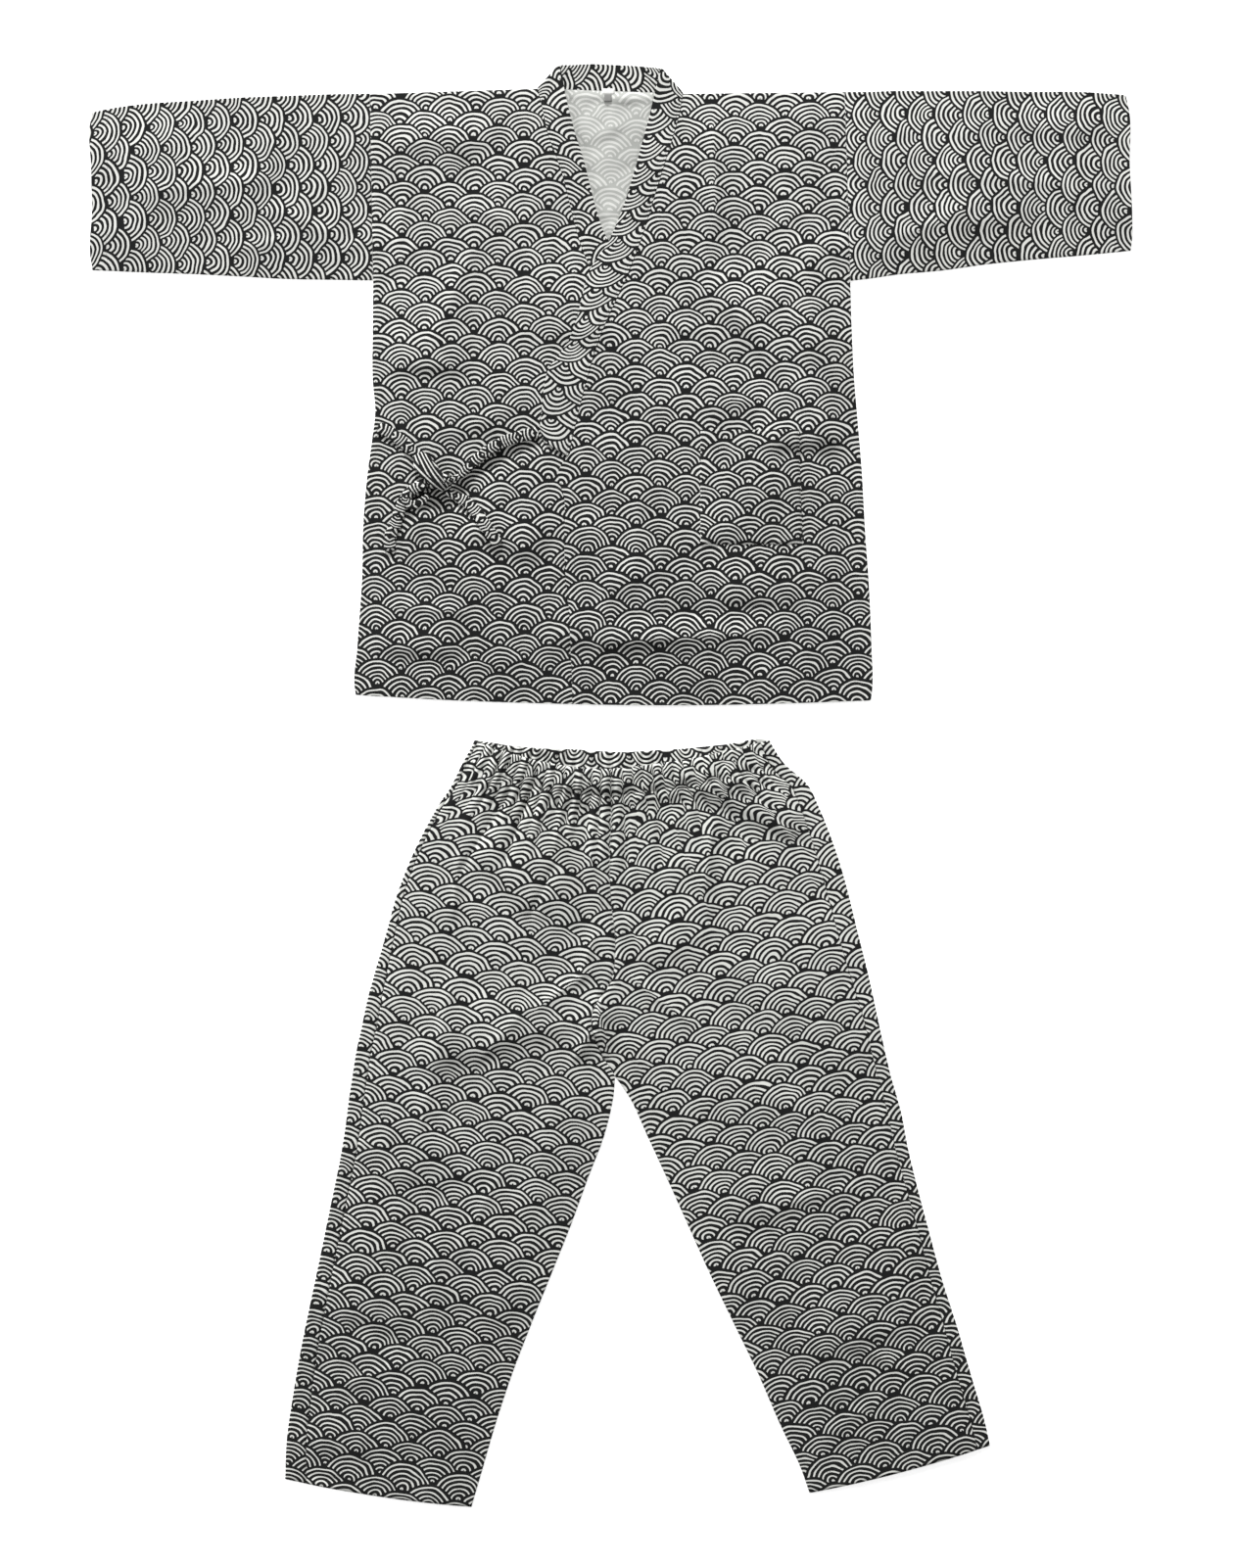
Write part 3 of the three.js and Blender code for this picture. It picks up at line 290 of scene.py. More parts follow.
TROUSER_FOLDS = [
    (119, -85, 83, 120, 12, 1.5, 5), (-12, -290, 100, 100, 10, 1.5, 5), (-60, -250, 35, 110, 14, 1.4, 4),
    (60, -262, -38, 120, 14, 1.4, 4), (-215, -330, 78, 260, 24, 1.2, 0),
    (225, -330, -76, 240, 24, 1.2, 0), (-225, -620, 76, 300, 28, 1.1, 0),
    (270, -620, -72, 300, 28, 1.1, 0), (-36, -318, 62, 60, 6, 0.9, 2), (26, -330, -66, 60, 6, 0.9, 2),
    (-30, -210, 70, 80, 8, 0.9, 2), (32, -190, -64, 90, 8, 0.9, 2), (-130, -300, 48, 130, 9, 0.7, 1),
    (150, -310, -46, 130, 9, 0.7, 1), (-250, -480, -12, 120, 10, 0.6, 1),
    (262, -500, 14, 120, 10, 0.6, 1), (-160, -520, 62, 150, 9, 0.6, 1), (200, -540, -60, 150, 9, 0.6, 1),
    (-290, -720, 20, 110, 10, 0.6, 1), (330, -700, -24, 110, 10, 0.6, 1),
    (-230, -770, -40, 100, 9, 0.6, 1), (300, -770, 36, 100, 9, 0.6, 1),
    (205, -42, -47, 150, 9, -2.3, 4), (188, -26, -48, 140, 8, 2.1, 3), (148, -34, -68, 130, 7, -1.6, 4),
    (-112, -44, 70, 140, 8, -1.5, 4), (-62, -36, 80, 110, 7, 1.4, 4), (58, -48, -84, 130, 7, -1.6, 5),
    (22, -58, 88, 130, 7, -1.4, 5), (-158, -62, 58, 150, 9, -1.4, 3), (108, -122, -70, 100, 8, 1.3, 3),
    (-84, -128, 64, 90, 8, -1.2, 3), (-362, -846, -9, 80, 5, -1.1, 1), (250, -120, -58, 110, 9, -1.3, 2),
    (-190, -120, 84, 100, 9, 1.2, 2), (-20, -110, -78, 90, 8, 1.2, 4), (84, -70, -74, 90, 7, 1.3, 4),
]

# Broad slopes as (x, y, turn, length, steep side, gentle side, height): the cloth falls away
# steeply below the line, so that a soft dark patch lies there
SHIRT_SLOPES = [
    (-242, 516, 0, 160, 12, 50, 3.0), (219, 500, -52, 340, 17, 80, 4.8), (238, 424, 4, 130, 12, 40, 3.6),
    (-130, 300, -20, 120, 14, 40, 3.0), (2, 182, 0, 190, 14, 40, 2.6), (-242, 170, -3, 150, 13, 40, 3.2),
    (30, 254, 25, 110, 14, 36, 1.8), (123, 310, 20, 110, 14, 36, 1.7), (-205, 792, 2, 150, 14, 36, 1.6),
    (-430, 742, 60, 140, 16, 36, 1.6), (545, 812, -10, 120, 14, 36, 1.5), (180, 230, -6, 120, 14, 40, 1.7),
    (-180, 440, 4, 130, 14, 40, 1.6), (460, 700, 14, 150, 16, 40, 1.5), (-60, 560, -4, 140, 16, 50, 1.4),
]
TROUSER_SLOPES = [
    (-130, -112, -50, 150, 14, 34, 3.2), (-70, -88, -67, 190, 24, 11, 2.5), (-27, 2, 0, 110, 9, 26, 2.2),
    (152, -18, -28, 220, 13, 38, 3.6), (-130, -308, 15, 260, 17, 60, 2.8), (-22, -300, 60, 90, 12, 24, 2.4),
    (-308, -646, -14, 150, 14, 50, 2.0), (-340, -806, -12, 110, 12, 36, 1.8),
    (189, -516, 20, 150, 15, 50, 1.6), (320, -666, 18, 190, 15, 50, 1.8),
    (90, -190, 30, 140, 14, 40, 1.6), (-200, -470, -8, 150, 15, 50, 1.5),
]

FOLD_SCALE = 2.0
SLOPE_SCALE = 1.75
BODY = 0.8  # share of a fold's height in its broad body
CREST = 0.5  # and in its sharp crest
CREST_WIDTH = 0.3  # against the body's
PULL_REACH = 40  # how far from a fold the print is still moved
HILLS = ((95, 0.5), (38, 0.26))  # size and height of the cloth's own unevenness


def across_fold(fold, x, y):
    """Distance across a fold's line, and 1 along it, fading to 0 at its ends."""
    fx, fy, degrees, length = fold[:4]
    turn = math.radians(degrees)
    along = (x - fx) * math.cos(turn) + (y - fy) * math.sin(turn)
    across = (y - fy) * math.cos(turn) - (x - fx) * math.sin(turn)
    return across, 1 - smooth(0.25, 0.5, np.abs(along) / length)


def folds_at(folds, x, y):
    total = np.zeros(np.shape(x))
    for fold in folds:
        across, end = across_fold(fold, x, y)
        body = BODY * np.exp(-((across / fold[4]) ** 2))
        crest = CREST * np.exp(-((across / fold[4] / CREST_WIDTH) ** 2))
        total += FOLD_SCALE * fold[5] * end * (body + crest)
    return total


def slopes_at(slopes, x, y):
    total = np.zeros(np.shape(x))
    for slope in slopes:
        across, end = across_fold(slope, x, y)
        width = np.where(across < 0, slope[4], slope[5])
        total += SLOPE_SCALE * slope[6] * end * np.exp(-((across / width) ** 2))
    return total


def hidden_cloth(folds, x, y):
    """How far the print is moved beside each fold, because the fold hides some cloth."""
    shift = np.zeros(np.shape(x) + (2,))
    for fold in folds:
        across, end = across_fold(fold, x, y)
        turn = math.radians(fold[2])
        amount = fold[6] * end * (smooth(-2, 2, across) - 0.5) * np.exp(-np.abs(across) / PULL_REACH)
        shift[..., 0] -= amount * math.sin(turn)
        shift[..., 1] += amount * math.cos(turn)
    return shift


def lift_of(edges, folds, slopes, seed, x, y):
    away = np.min([distance_to(edge, x, y) for edge in edges], axis=0)
    uneven = sum(height * hills(x, y, size, seed + i) for i, (size, height) in enumerate(HILLS))
    raised = LOFT + folds_at(folds, x, y) + slopes_at(slopes, x, y) + uneven
    return np.maximum(0, raised * smooth(0, LOFT_REACH, away))


def shirt_lift(x, y):
    return lift_of(SHIRT_EDGES, SHIRT_FOLDS, SHIRT_SLOPES, 3, x, y)


def cloth_height(x, y):
    return UPPER + shirt_lift(x, y)


def covering(x, y):
    """1 over the right front and the hidden collar, falling to 0 past their edge."""
    past = 1 - smooth(COVER_REACH / 2, COVER_REACH, distance_to(COVERED + COVERED[:1], x, y))
    return np.where(inside(COVERED, x, y), 1.0, past)


def over_height(x, y):
    return cloth_height(x, y) + CROSSING * covering(x, y)


def shares(width, pitch=PITCH):
    """Shares across a width: even steps of about the pitch, and closer ones at both edges."""
    near = np.array(EDGE_STEPS) / width
    inner = np.linspace(near[-1], 1 - near[-1], max(4, round(width / pitch)))
    return np.concatenate([near[:-1], inner, 1 - near[-2::-1]])


def rolled(distance):
    return ROLL * (1 - smooth(0, ROLL_REACH, distance))


def groove(distance, deep, reach):
    return deep * np.exp(-((distance / reach) ** 2))


PUCKER = {"pitch": 10.5, "change": 47, "uneven": 1.7, "reach": 7}


def puckers(distance, along, seed, height=0.42):
    """Small uneven ripples that sewing draws up beside a seam."""
    change = PUCKER["uneven"] * np.sin(2 * math.pi * along / PUCKER["change"] + seed)
    ripple = np.sin(2 * math.pi * along / PUCKER["pitch"] + change)
    return height * ripple * groove(distance, 1, PUCKER["reach"])


HEM_RISE = 0.3
HEM_EDGE = 1.5  # half the width of the step at the hem's top
HEM_GROOVE = (0.28, 1.6)  # depth and reach of the groove at its stitches
HEM_PUCKERS = 0.3  # height of the puckers at a hem, and at the seams of pocket and legs
EDGE_PUCKERS = 0.5


def hem_step(distance, depth=HEM):
    """The turned-up hem stands a little proud, with a groove at its stitches."""
    on_hem = 1 - smooth(depth - HEM_EDGE, depth + HEM_EDGE, distance)
    return HEM_RISE * on_hem - groove(distance - depth, *HEM_GROOVE)


# Meshes
def shell(name, points, uv, materials, thickness=WALL, facing=1, closed=False):
    """A wall of cloth on a grid of points in millimetres. facing is 1 where the right side is up.
    uv is each point's place in the flat cloth, in millimetres."""
    grids = points if isinstance(points, tuple) else (points,)
    maps = uv if isinstance(uv, tuple) else (uv,)
    made, first = [], 0
    for grid in grids:
        rows, columns = grid.shape[:2]
        number = first + np.arange(rows * columns).reshape(rows, columns)
        corners = [number[:-1, :-1], number[1:, :-1], number[1:, 1:], number[:-1, 1:]]
        if facing < 0:
            corners.reverse()
        made.append(together(*corners).reshape(-1, 4))
        first += rows * columns
    faces = np.concatenate(made)
    places = np.concatenate([grid.reshape(-1, 3) for grid in grids])
    flat = np.concatenate([grid.reshape(-1, 2) for grid in maps])
    mesh = bpy.data.meshes.new(name)
    mesh.vertices.add(len(places))
    mesh.vertices.foreach_set("co", (places * MM).ravel())
    mesh.loops.add(faces.size)
    mesh.loops.foreach_set("vertex_index", faces.ravel())
    mesh.polygons.add(len(faces))
    mesh.polygons.foreach_set("loop_start", np.arange(0, faces.size, 4))
    mesh.update(calc_edges=True)
    mesh.polygons.foreach_set("use_smooth", np.ones(len(faces), bool))
    cloth_map = mesh.uv_layers.new(name="cloth")
    cloth_map.data.foreach_set("uv", (flat[faces.ravel()] * MM).ravel())
    for material in materials:
        mesh.materials.append(material)
    piece = bpy.data.objects.new(name, mesh)
    bpy.context.scene.collection.objects.link(piece)
    if not closed:
        wall = piece.modifiers.new("wall", "SOLIDIFY")
        wall.thickness = thickness * MM
        wall.offset = 0
        wall.material_offset = len(materials) - 1
    return piece


def dress(piece, slot, *nodes):
    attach(piece, "root")
    if nodes:
        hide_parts(*nodes)
    return piece


# Shader nodes
def node_for(operation, turned=False):
    """An arithmetic operator of Value. turned is for a plain number on its left."""
    def operator(self, other):
        pair = (other, self) if turned else (self, other)
        return self.graph.sum(operation, *pair)
    return operator


class Value:
    """A node's output. Arithmetic with it adds the node that does the same."""

    def __init__(self, graph, socket):
        self.graph = graph
        self.socket = socket

    __add__ = node_for("ADD")
    __sub__ = node_for("SUBTRACT")
    __rsub__ = node_for("SUBTRACT", turned=True)
    __mul__ = node_for("MULTIPLY")
    __truediv__ = node_for("DIVIDE")


class Graph:
    """Adds nodes to a tree and joins values or plain numbers to their inputs."""

    def __init__(self, tree):
        self.tree = tree

    def put(self, kind, inputs=(), **settings):
        node = self.tree.nodes.new(kind)
        for name, value in settings.items():
            setattr(node, name, value)
        self.join(node, inputs)
        return node

    def join(self, node, inputs):
        for key, value in dict(inputs).items():
            if isinstance(value, Value):
                self.tree.links.new(value.socket, node.inputs[key])
            else:
                node.inputs[key].default_value = value

    def outputs(self, kind, inputs=(), **settings):
        return [Value(self, socket) for socket in self.put(kind, inputs, **settings).outputs]

    def sum(self, operation, *values):
        return self.outputs("ShaderNodeMath", enumerate(values), operation=operation)[0]

    def blend(self, share, a, b, kind="MIX"):
        inputs = {0: share, 6: a, 7: b}
        return self.outputs("ShaderNodeMix", inputs, data_type="RGBA", blend_type=kind)[2]

    def ramp(self, value, low, high, to_low=0.0, to_high=1.0, kind="SMOOTHSTEP"):
        inputs = {"Value": value, "From Min": low, "From Max": high, "To Min": to_low, "To Max": to_high}
        return self.outputs("ShaderNodeMapRange", inputs, interpolation_type=kind)[0]

    def noise(self, place, scale, detail=2.0, roughness=0.5):
        inputs = {"Vector": place, "Scale": scale, "Detail": detail, "Roughness": roughness}
        return self.outputs("ShaderNodeTexNoise", inputs)[0]

    def uneven(self, place, scale, detail, most):
        """Noise from -most to most."""
        return self.ramp(self.noise(place, scale, detail), 0.25, 0.75, -most, most)


EYE = 1.1  # the light eye in a wave's middle, in ring pitches
UNEVEN_ROWS = 0.14  # how far a row lies above or below its even place, in rows
ROOM_ABOVE = 2.7  # dark room between a wave and the eye of the next wave above it
WAVE_REACH = 30.6  # half the width of an evenly tall wave
DARK_SHARE = 0.535  # of a ring pitch at the rim, growing inwards
DARK_GROWS = 0.008
SOFT_INK = 0.08
TALLER = 0.25  # how much taller or lower a single wave is drawn, in ring pitches
ASIDE = 0.02  # how far it stands aside, in wave widths
HIGHER = 0.06  # and above or below, in rows
WIDER = 0.3  # share of a wave's width that follows its height
WAVE_LOW = (-0.03, -0.01)  # where a wave's lower half ends, in wave heights


def wave_group():
    """Whether a place lies in the wave of one row, and whether it is light there."""
    tree = bpy.data.node_groups.new("wave_row", "ShaderNodeTree")
    names = ("Across", "Up", "Below", "Wobble", "Ink_and_shade")
    for name in names:
        tree.interface.new_socket(name, in_out="INPUT", socket_type="NodeSocketFloat")
    for name in ("Inside", "Light"):
        tree.interface.new_socket(name, in_out="OUTPUT", socket_type="NodeSocketFloat")
    g = Graph(tree)
    across, up, below, wobble, ink_and_shade = g.outputs("NodeGroupInput")[:len(names)]
    row = g.sum("FLOOR", up) - below
    half = g.sum("FRACT", row * 0.5)
    column = g.sum("ROUND", across - half) + half
    cell = g.outputs("ShaderNodeCombineXYZ", {"X": column, "Y": row})[0]
    drawn, colour = g.outputs("ShaderNodeTexWhiteNoise", {"Vector": cell}, noise_dimensions="2D")
    drawn_aside, drawn_up = g.outputs("ShaderNodeSeparateColor", {"Color": colour})[1:]
    here, next_above = (
        g.outputs("ShaderNodeTexWhiteNoise", {"W": w}, noise_dimensions="1D")[0] for w in (row, row + 2)
    )
    shift = here * (2 * UNEVEN_ROWS) - UNEVEN_ROWS
    apart = (next_above - here) * (2 * UNEVEN_ROWS) + 2
    tall = apart * (ROW_PITCH / RING_PITCH) - ROOM_ABOVE / RING_PITCH
    tall = tall + g.ramp(drawn, 0, 1, -TALLER, TALLER)
    radius = g.sum("ROUND", tall - EYE) + EYE
    aside = across - column + g.ramp(drawn_aside, 0, 1, -ASIDE, ASIDE)
    above = up - row - shift + g.ramp(drawn_up, 0, 1, -HIGHER, HIGHER)
    even = (2 * ROW_PITCH - ROOM_ABOVE) / RING_PITCH
    wide = tall * (WIDER / even) + (1 - WIDER)
    dx = aside * (WAVE_WIDTH / WAVE_REACH) / wide
    dy = above * (ROW_PITCH / RING_PITCH) / tall
    far = g.sum("SQRT", dx * dx + dy * dy) * radius + wobble
    depth = radius - far
    # ink_and_shade is the print's uneven inking plus painted shade towards one end of the cloth
    dark = depth * DARK_GROWS + DARK_SHARE + ink_and_shade
    off = g.sum("ABSOLUTE", g.sum("FRACT", depth) - (dark * 0.5 + 0.5))
    light = g.ramp(off + dark * 0.5 - 0.5, -SOFT_INK / 2, SOFT_INK / 2, 1.0, 0.0)
    upper = g.ramp(dy, *WAVE_LOW)
    g.put("NodeGroupOutput", {"Inside": g.sum("LESS_THAN", far, radius), "Light": light * upper})
    return tree


WAVES = wave_group()
SWAY = 0.8  # how far the waves' places wander
SWAY_ACROSS = 0.03  # of a wave's width
SWAY_UP = 0.08  # of a row
WOBBLE = 0.07  # of the rings, in ring pitches
UNEVEN_INK = 0.05
ROWS_BELOW = (-1, 0, 1, 2)  # the rows whose waves can reach a place, the front one last


def waves_on(g, place, at_low, at_high):
    """1 where the print is light. Lower rows lie in front of the ones above them. Painted shade widens the
    dark rings towards one end of the cloth, where the light falls off: at_low and at_high are (distance
    along the cloth, added dark share)."""
    x, y = g.outputs("ShaderNodeSeparateXYZ", {"Vector": place})[:2]
    # painted shade: the dark share grows along the cloth, as the light falls off towards the hem
    painted_shade = g.ramp(g.sum("ABSOLUTE", y), at_low[0], at_high[0], at_low[1], at_high[1], "LINEAR")
    sway = g.uneven(place, 38.0, 1.0, SWAY)
    given = {
        "Across": x * (1 / (WAVE_WIDTH * MM)) + sway * SWAY_ACROSS,
        "Up": y * (1 / (ROW_PITCH * MM)) + sway * SWAY_UP,
        "Wobble": g.uneven(place, 70.0, 1.0, WOBBLE),
        # painted shade plus the print's uneven inking
        "Ink_and_shade": painted_shade + g.uneven(place, 45.0, 2.0, UNEVEN_INK),
    }
    light = 0
    for below in ROWS_BELOW:
        wave = g.put("ShaderNodeGroup", node_tree=WAVES)
        g.join(wave, {**given, "Below": below})
        within, bright = (Value(g, socket) for socket in wave.outputs)
        light = (1 - within) * light + within * bright
    return light


def new_material(name, look):
    material = bpy.data.materials.new(name)
    material.use_nodes = True
    material.node_tree.nodes.clear()
    g = Graph(material.node_tree)
    shader = g.put("ShaderNodeBsdfPrincipled", look)
    g.put("ShaderNodeOutputMaterial", {"Surface": Value(g, shader.outputs[0])})
    return material, g, shader


THREADS = 1400  # a metre, both ways
OVER_UNDER = 0.35  # height of the crossings, against the threads' own unevenness


def weave(g, place):
    """Plain weave: warp and weft one over the other, about 0.7 mm apart, uneven in thickness."""
    x, y = g.outputs("ShaderNodeSeparateXYZ", {"Vector": place})[:2]
    over, under = (g.sum("SINE", axis * (THREADS * math.pi)) for axis in (x, y))
    return over * under * OVER_UNDER + g.noise(place, 700.0, 2.0, 0.6)


COTTON = {"Sheen Weight": 0.06, "Sheen Roughness": 0.6, "Specular IOR Level": 0.18}
TONES = (0.9, 1.04)  # least and most, over areas of some 90 mm
THREAD_TONES = (0.95, 1.04)
ROUGHNESS = (0.86, 0.97)
THREAD_BUMP = {"Strength": 0.35, "Distance": 0.00012}
SHIRT_PAINTED_SHADE = ((0.1, 0.11), (0.64, -0.005))  # painted shade: dark share added at two distances along the shirt's cloth, in metres, more towards the hem
# painted shade on the trousers: lighter at the waist, darker towards the legs' hems
TROUSER_PAINTED_SHADE = ((0.3, -0.035), (0.85, 0.1))


def cotton(name, pale, dark=None, ink_and_shade=SHIRT_PAINTED_SHADE):
    """Matt cotton, printed with waves where a dark colour is given. ink_and_shade gives the painted shade:
    more dark share towards one end of the cloth.
    """
    material, g, shader = new_material(name, COTTON)
    place = g.outputs("ShaderNodeUVMap", uv_map="cloth")[0]
    threads = weave(g, place)
    shade = g.ramp(g.noise(place, 11.0, 3.0), 0.3, 0.7, *TONES) * g.ramp(threads, 0.1, 0.9, *THREAD_TONES)
    colour = (*pale, 1.0)
    if dark:
        colour = g.blend(waves_on(g, place, *ink_and_shade), (*dark, 1.0), colour)
    grey = g.outputs("ShaderNodeCombineXYZ", {"X": shade, "Y": shade, "Z": shade})[0]
    g.join(shader, {
        "Base Color": g.blend(1.0, colour, grey, "MULTIPLY"),
        "Roughness": g.ramp(threads, 0.0, 1.0, *ROUGHNESS),
        "Normal": g.outputs("ShaderNodeBump", {"Height": threads, **THREAD_BUMP})[0],
    })
    return material


CHARCOAL = (0.007, 0.0075, 0.0075)
PRINT = cotton("print", (0.76, 0.765, 0.73), CHARCOAL)
TROUSER_CLOTH = cotton("print_trousers", (0.77, 0.78, 0.74), CHARCOAL, TROUSER_PAINTED_SHADE)
WRONG_SIDE = cotton("wrong_side", (0.69, 0.695, 0.665), (0.45, 0.46, 0.435))
PLAIN_TAB = cotton("plain_tab", (0.86, 0.86, 0.84))
# dark grey tail under the tab: partly the label's lower half, partly painted shadow under the tab
TAB_TAIL_AND_PAINTED_SHADOW = cotton("tab_tail_and_painted_shadow", (0.27, 0.27, 0.26))
THREAD = cotton("thread", (0.07, 0.07, 0.068))


# Shirt panels
BEND_REACH = 30  # how far from an edge the mesh's rows still follow it


def bent(level, x):
    """A level near the top or the hem follows that edge."""
    near_top = smooth(SHOULDER - BEND_REACH, SHOULDER, level)
    near_hem = smooth(SHIRT_BOTTOM + BEND_REACH, SHIRT_BOTTOM, level)
    at_top = (straight(SHIRT_TOP, x) - SHOULDER) * near_top
    return level + at_top + (curved(HEM_LINE, x) - SHIRT_BOTTOM) * near_hem


def side_of(armhole, side, inward):
    def edge(y):
        return np.where(y > ARMHOLE_LOW, straight(armhole, y), curved(side, y)) + inward
    return edge


LEFT_EDGE = side_of(LEFT_ARMHOLE, LEFT_SIDE, GAP / 2)
RIGHT_EDGE = side_of(RIGHT_ARMHOLE, RIGHT_SIDE, -GAP / 2)


def panel_points(left, right, width):
    """Places (x, y) of a shirt panel, from its top to its hem."""
    tall = SHOULDER - SHIRT_BOTTOM
    levels = SHOULDER - shares(tall) * tall
    starts = left(bent(levels, left(levels)))
    ends = right(bent(levels, right(levels)))
    across = shares(width)
    x = mix(starts[:, None], ends[:, None], across[None, :])
    return x, bent(levels[:, None], x)


UNDER_PRINT = (15.5, -7.0)  # the right front's print isn't matched to the left front's
SIDE_SEAMS = [flipped(table) for table in (LEFT_SIDE, RIGHT_SIDE, LEFT_ARMHOLE, RIGHT_ARMHOLE)]
OPEN_HEM = 12  # depth of the hem along the left front's open edge
OPEN_RISE = 0.8  # against the other hems
OPEN_EDGE = flipped(OVER_EDGE[-7:])
EDGE_ROOM = 0.4  # between a front's cloth and the line of its centre edge
FRONT_WIDTHS = (300, 330)  # the right front and the left one, for their density


def front(name, left, right, width, height, open_edge=None, moved=(0, 0)):
    x, y = panel_points(left, right, width)
    to_side = np.min([distance_to(line, x, y) for line in SIDE_SEAMS], axis=0)
    z = height(x, y) - rolled(np.minimum(to_side, distance_to(SHIRT_TOP, x, y)))
    to_hem = distance_to(HEM_LINE, x, y)
    z = z + hem_step(to_hem) + puckers(to_side, y, 1.0) + puckers(to_hem - HEM, x, 2.0, HEM_PUCKERS)
    if open_edge:
        z = z + OPEN_RISE * hem_step(distance_to(open_edge, x, y), OPEN_HEM)
    uv = together(x, y) + hidden_cloth(SHIRT_FOLDS, x, y) + np.array(moved)
    return shell(name, together(x, y, z), uv, [PRINT, WRONG_SIDE])


NECK_FOLDS = [
    (-33, 841, -5, 60, 5, -0.6, 0), (-3, 832, 88, 34, 3.5, -0.6, 0), (25, 842, 10, 70, 5, 0.5, 0),
    (-30, 782, -12, 70, 5, -0.7, 0), (-8, 788, 2, 50, 5, -0.4, 0), (28, 762, 30, 60, 6, -0.5, 0),
    (10, 806, 10, 90, 9, 0.5, 0), (0, 730, -20, 80, 8, 0.4, 0), (-8, 690, 15, 70, 7, -0.4, 0),
]
BACK_WIDTH = 595
OPENING_LOW = (630, 680)  # the neck opening, where the back shows and is wrinkled
OPENING_TOP = (840, 850)
OPENING_SIDE = (70, 88)
NECK_LOFT = 1.0
STAND = {"below": 7, "reach": 5.5, "rise": 2.3, "side": (44, 57)}  # the ridge below the stand


def make_back():
    x, y = panel_points(LEFT_EDGE, RIGHT_EDGE, BACK_WIDTH)
    beside = np.abs(x)
    opening = smooth(*OPENING_LOW, y) * (1 - smooth(*OPENING_SIDE, beside)) * (1 - smooth(*OPENING_TOP, y))
    wrinkled = np.maximum(0, folds_at(NECK_FOLDS, x, y) + 0.3 * hills(x, y, 22, 41) + NECK_LOFT)
    ridge = groove(straight(SHIRT_TOP, x) - y - STAND["below"], STAND["rise"], STAND["reach"])
    z = LOW + opening * wrinkled + ridge * (1 - smooth(*STAND["side"], beside))
    points = together(x, y, z)
    return shell("shirt_back_cloth", points, together(-x, y), [PRINT, WRONG_SIDE], facing=-1)


SLEEVE_DEPTH = 225
SEAM_TURN = 0.15  # how far above its low edge a sleeve's walls are joined
FOLD_BENDS = np.radians([-45, 0, 45])  # round the fold at the sleeve's top


def sleeve(name, edges, armhole, cuff, facing):
    """A tube from the armhole to the cuff, sewn at its low edge and folded at the top."""
    def start(y):
        return straight(armhole, y) - facing * GAP / 2

    middle = (SHOULDER + ARMHOLE_LOW) / 2
    first, last = float(start(middle)), float(curved(cuff, middle))
    length = abs(last - first)
    turn = STEP / 2
    part = shares(SLEEVE_DEPTH)
    upper = slice(len(part) + len(FOLD_BENDS), -1)
    rings, maps = [], []
    for along in shares(length):
        x_middle = mix(first, last, along)
        top, low = (curved(edges, x_middle, 0, column) for column in (1, 2))
        under = mix(low + turn, top - turn, part)
        fold = top - turn + turn * np.cos(FOLD_BENDS)
        y = np.concatenate([under, fold, under[::-1], [low + SEAM_TURN]])
        x = mix(start(y), curved(cuff, y), along)
        z = np.full(len(y), LOW)
        z[len(part):upper.start] = LOW + turn + turn * np.sin(FOLD_BENDS)
        to_armhole, to_cuff = along * length, (1 - along) * length
        z[upper] = cloth_height(x, y)[upper] - rolled(np.minimum(to_armhole, y[upper] - low))
        z[upper] += hem_step(to_cuff) + puckers(to_armhole, y[upper], 3.0)
        z[upper] += puckers(to_cuff - HEM, y[upper], 4.0, HEM_PUCKERS)
        z[-1] = LOW + turn
        around = np.concatenate([under - top, turn * FOLD_BENDS, top - under[::-1], [top - low]])
        rings.append(together(x, y, z))
        out = x + hidden_cloth(SHIRT_FOLDS, x, y)[:, 0]
        # the sleeves' print lies where the painted shade is least
        up = facing * out * SLEEVE_PRINT[1] - LEAST_PAINTED_SHADE
        maps.append(together(around * facing * SLEEVE_PRINT[0], up))
    return shell(name, np.array(rings), np.array(maps), [PRINT, WRONG_SIDE], facing=facing)


# Collar
TURN_RISE = (815, 843)  # y where the band rises to the height of its turn


def collar_height(layer, x, y):
    above_stand = BAND_LOW + BAND + GAP
    turned = (BAND_LOW + above_stand) / 2
    leaving = mix(BAND_ON_BACK, above_stand, smooth(*TURN_RISE, y))
    on_back = np.maximum(BAND_ON_BACK + shirt_lift(x, y), leaving)
    crossing = np.clip(layer - 1, 0, 1)
    low = mix(BAND_LOW, turned, np.clip(layer * 2, 0, 1))
    high = mix(turned, on_back, np.clip(layer * 2 - 1, 0, 1))
    return np.where(layer <= 0.5, low, high) + crossing * CROSSING * covering(x, y)


LEAST_PAINTED_SHADE = 40 * ROW_PITCH  # print places moved by whole rows into the part of the cloth with the least painted shade, so that these pieces are painted as lit
COLLAR_START = 9.0  # where the print begins along the band
COLLAR_WIDTH = 38
COLLAR_PITCH = 4.5
COLLAR_STITCHES = 3  # from its seam
COLLAR_GROOVE = (0.3, 1.2)  # depth and reach of the groove at the stitches
COLLAR_PUFF = 0.5
COLLAR_UNEVEN = 0.4  # share of the puff that varies along the band


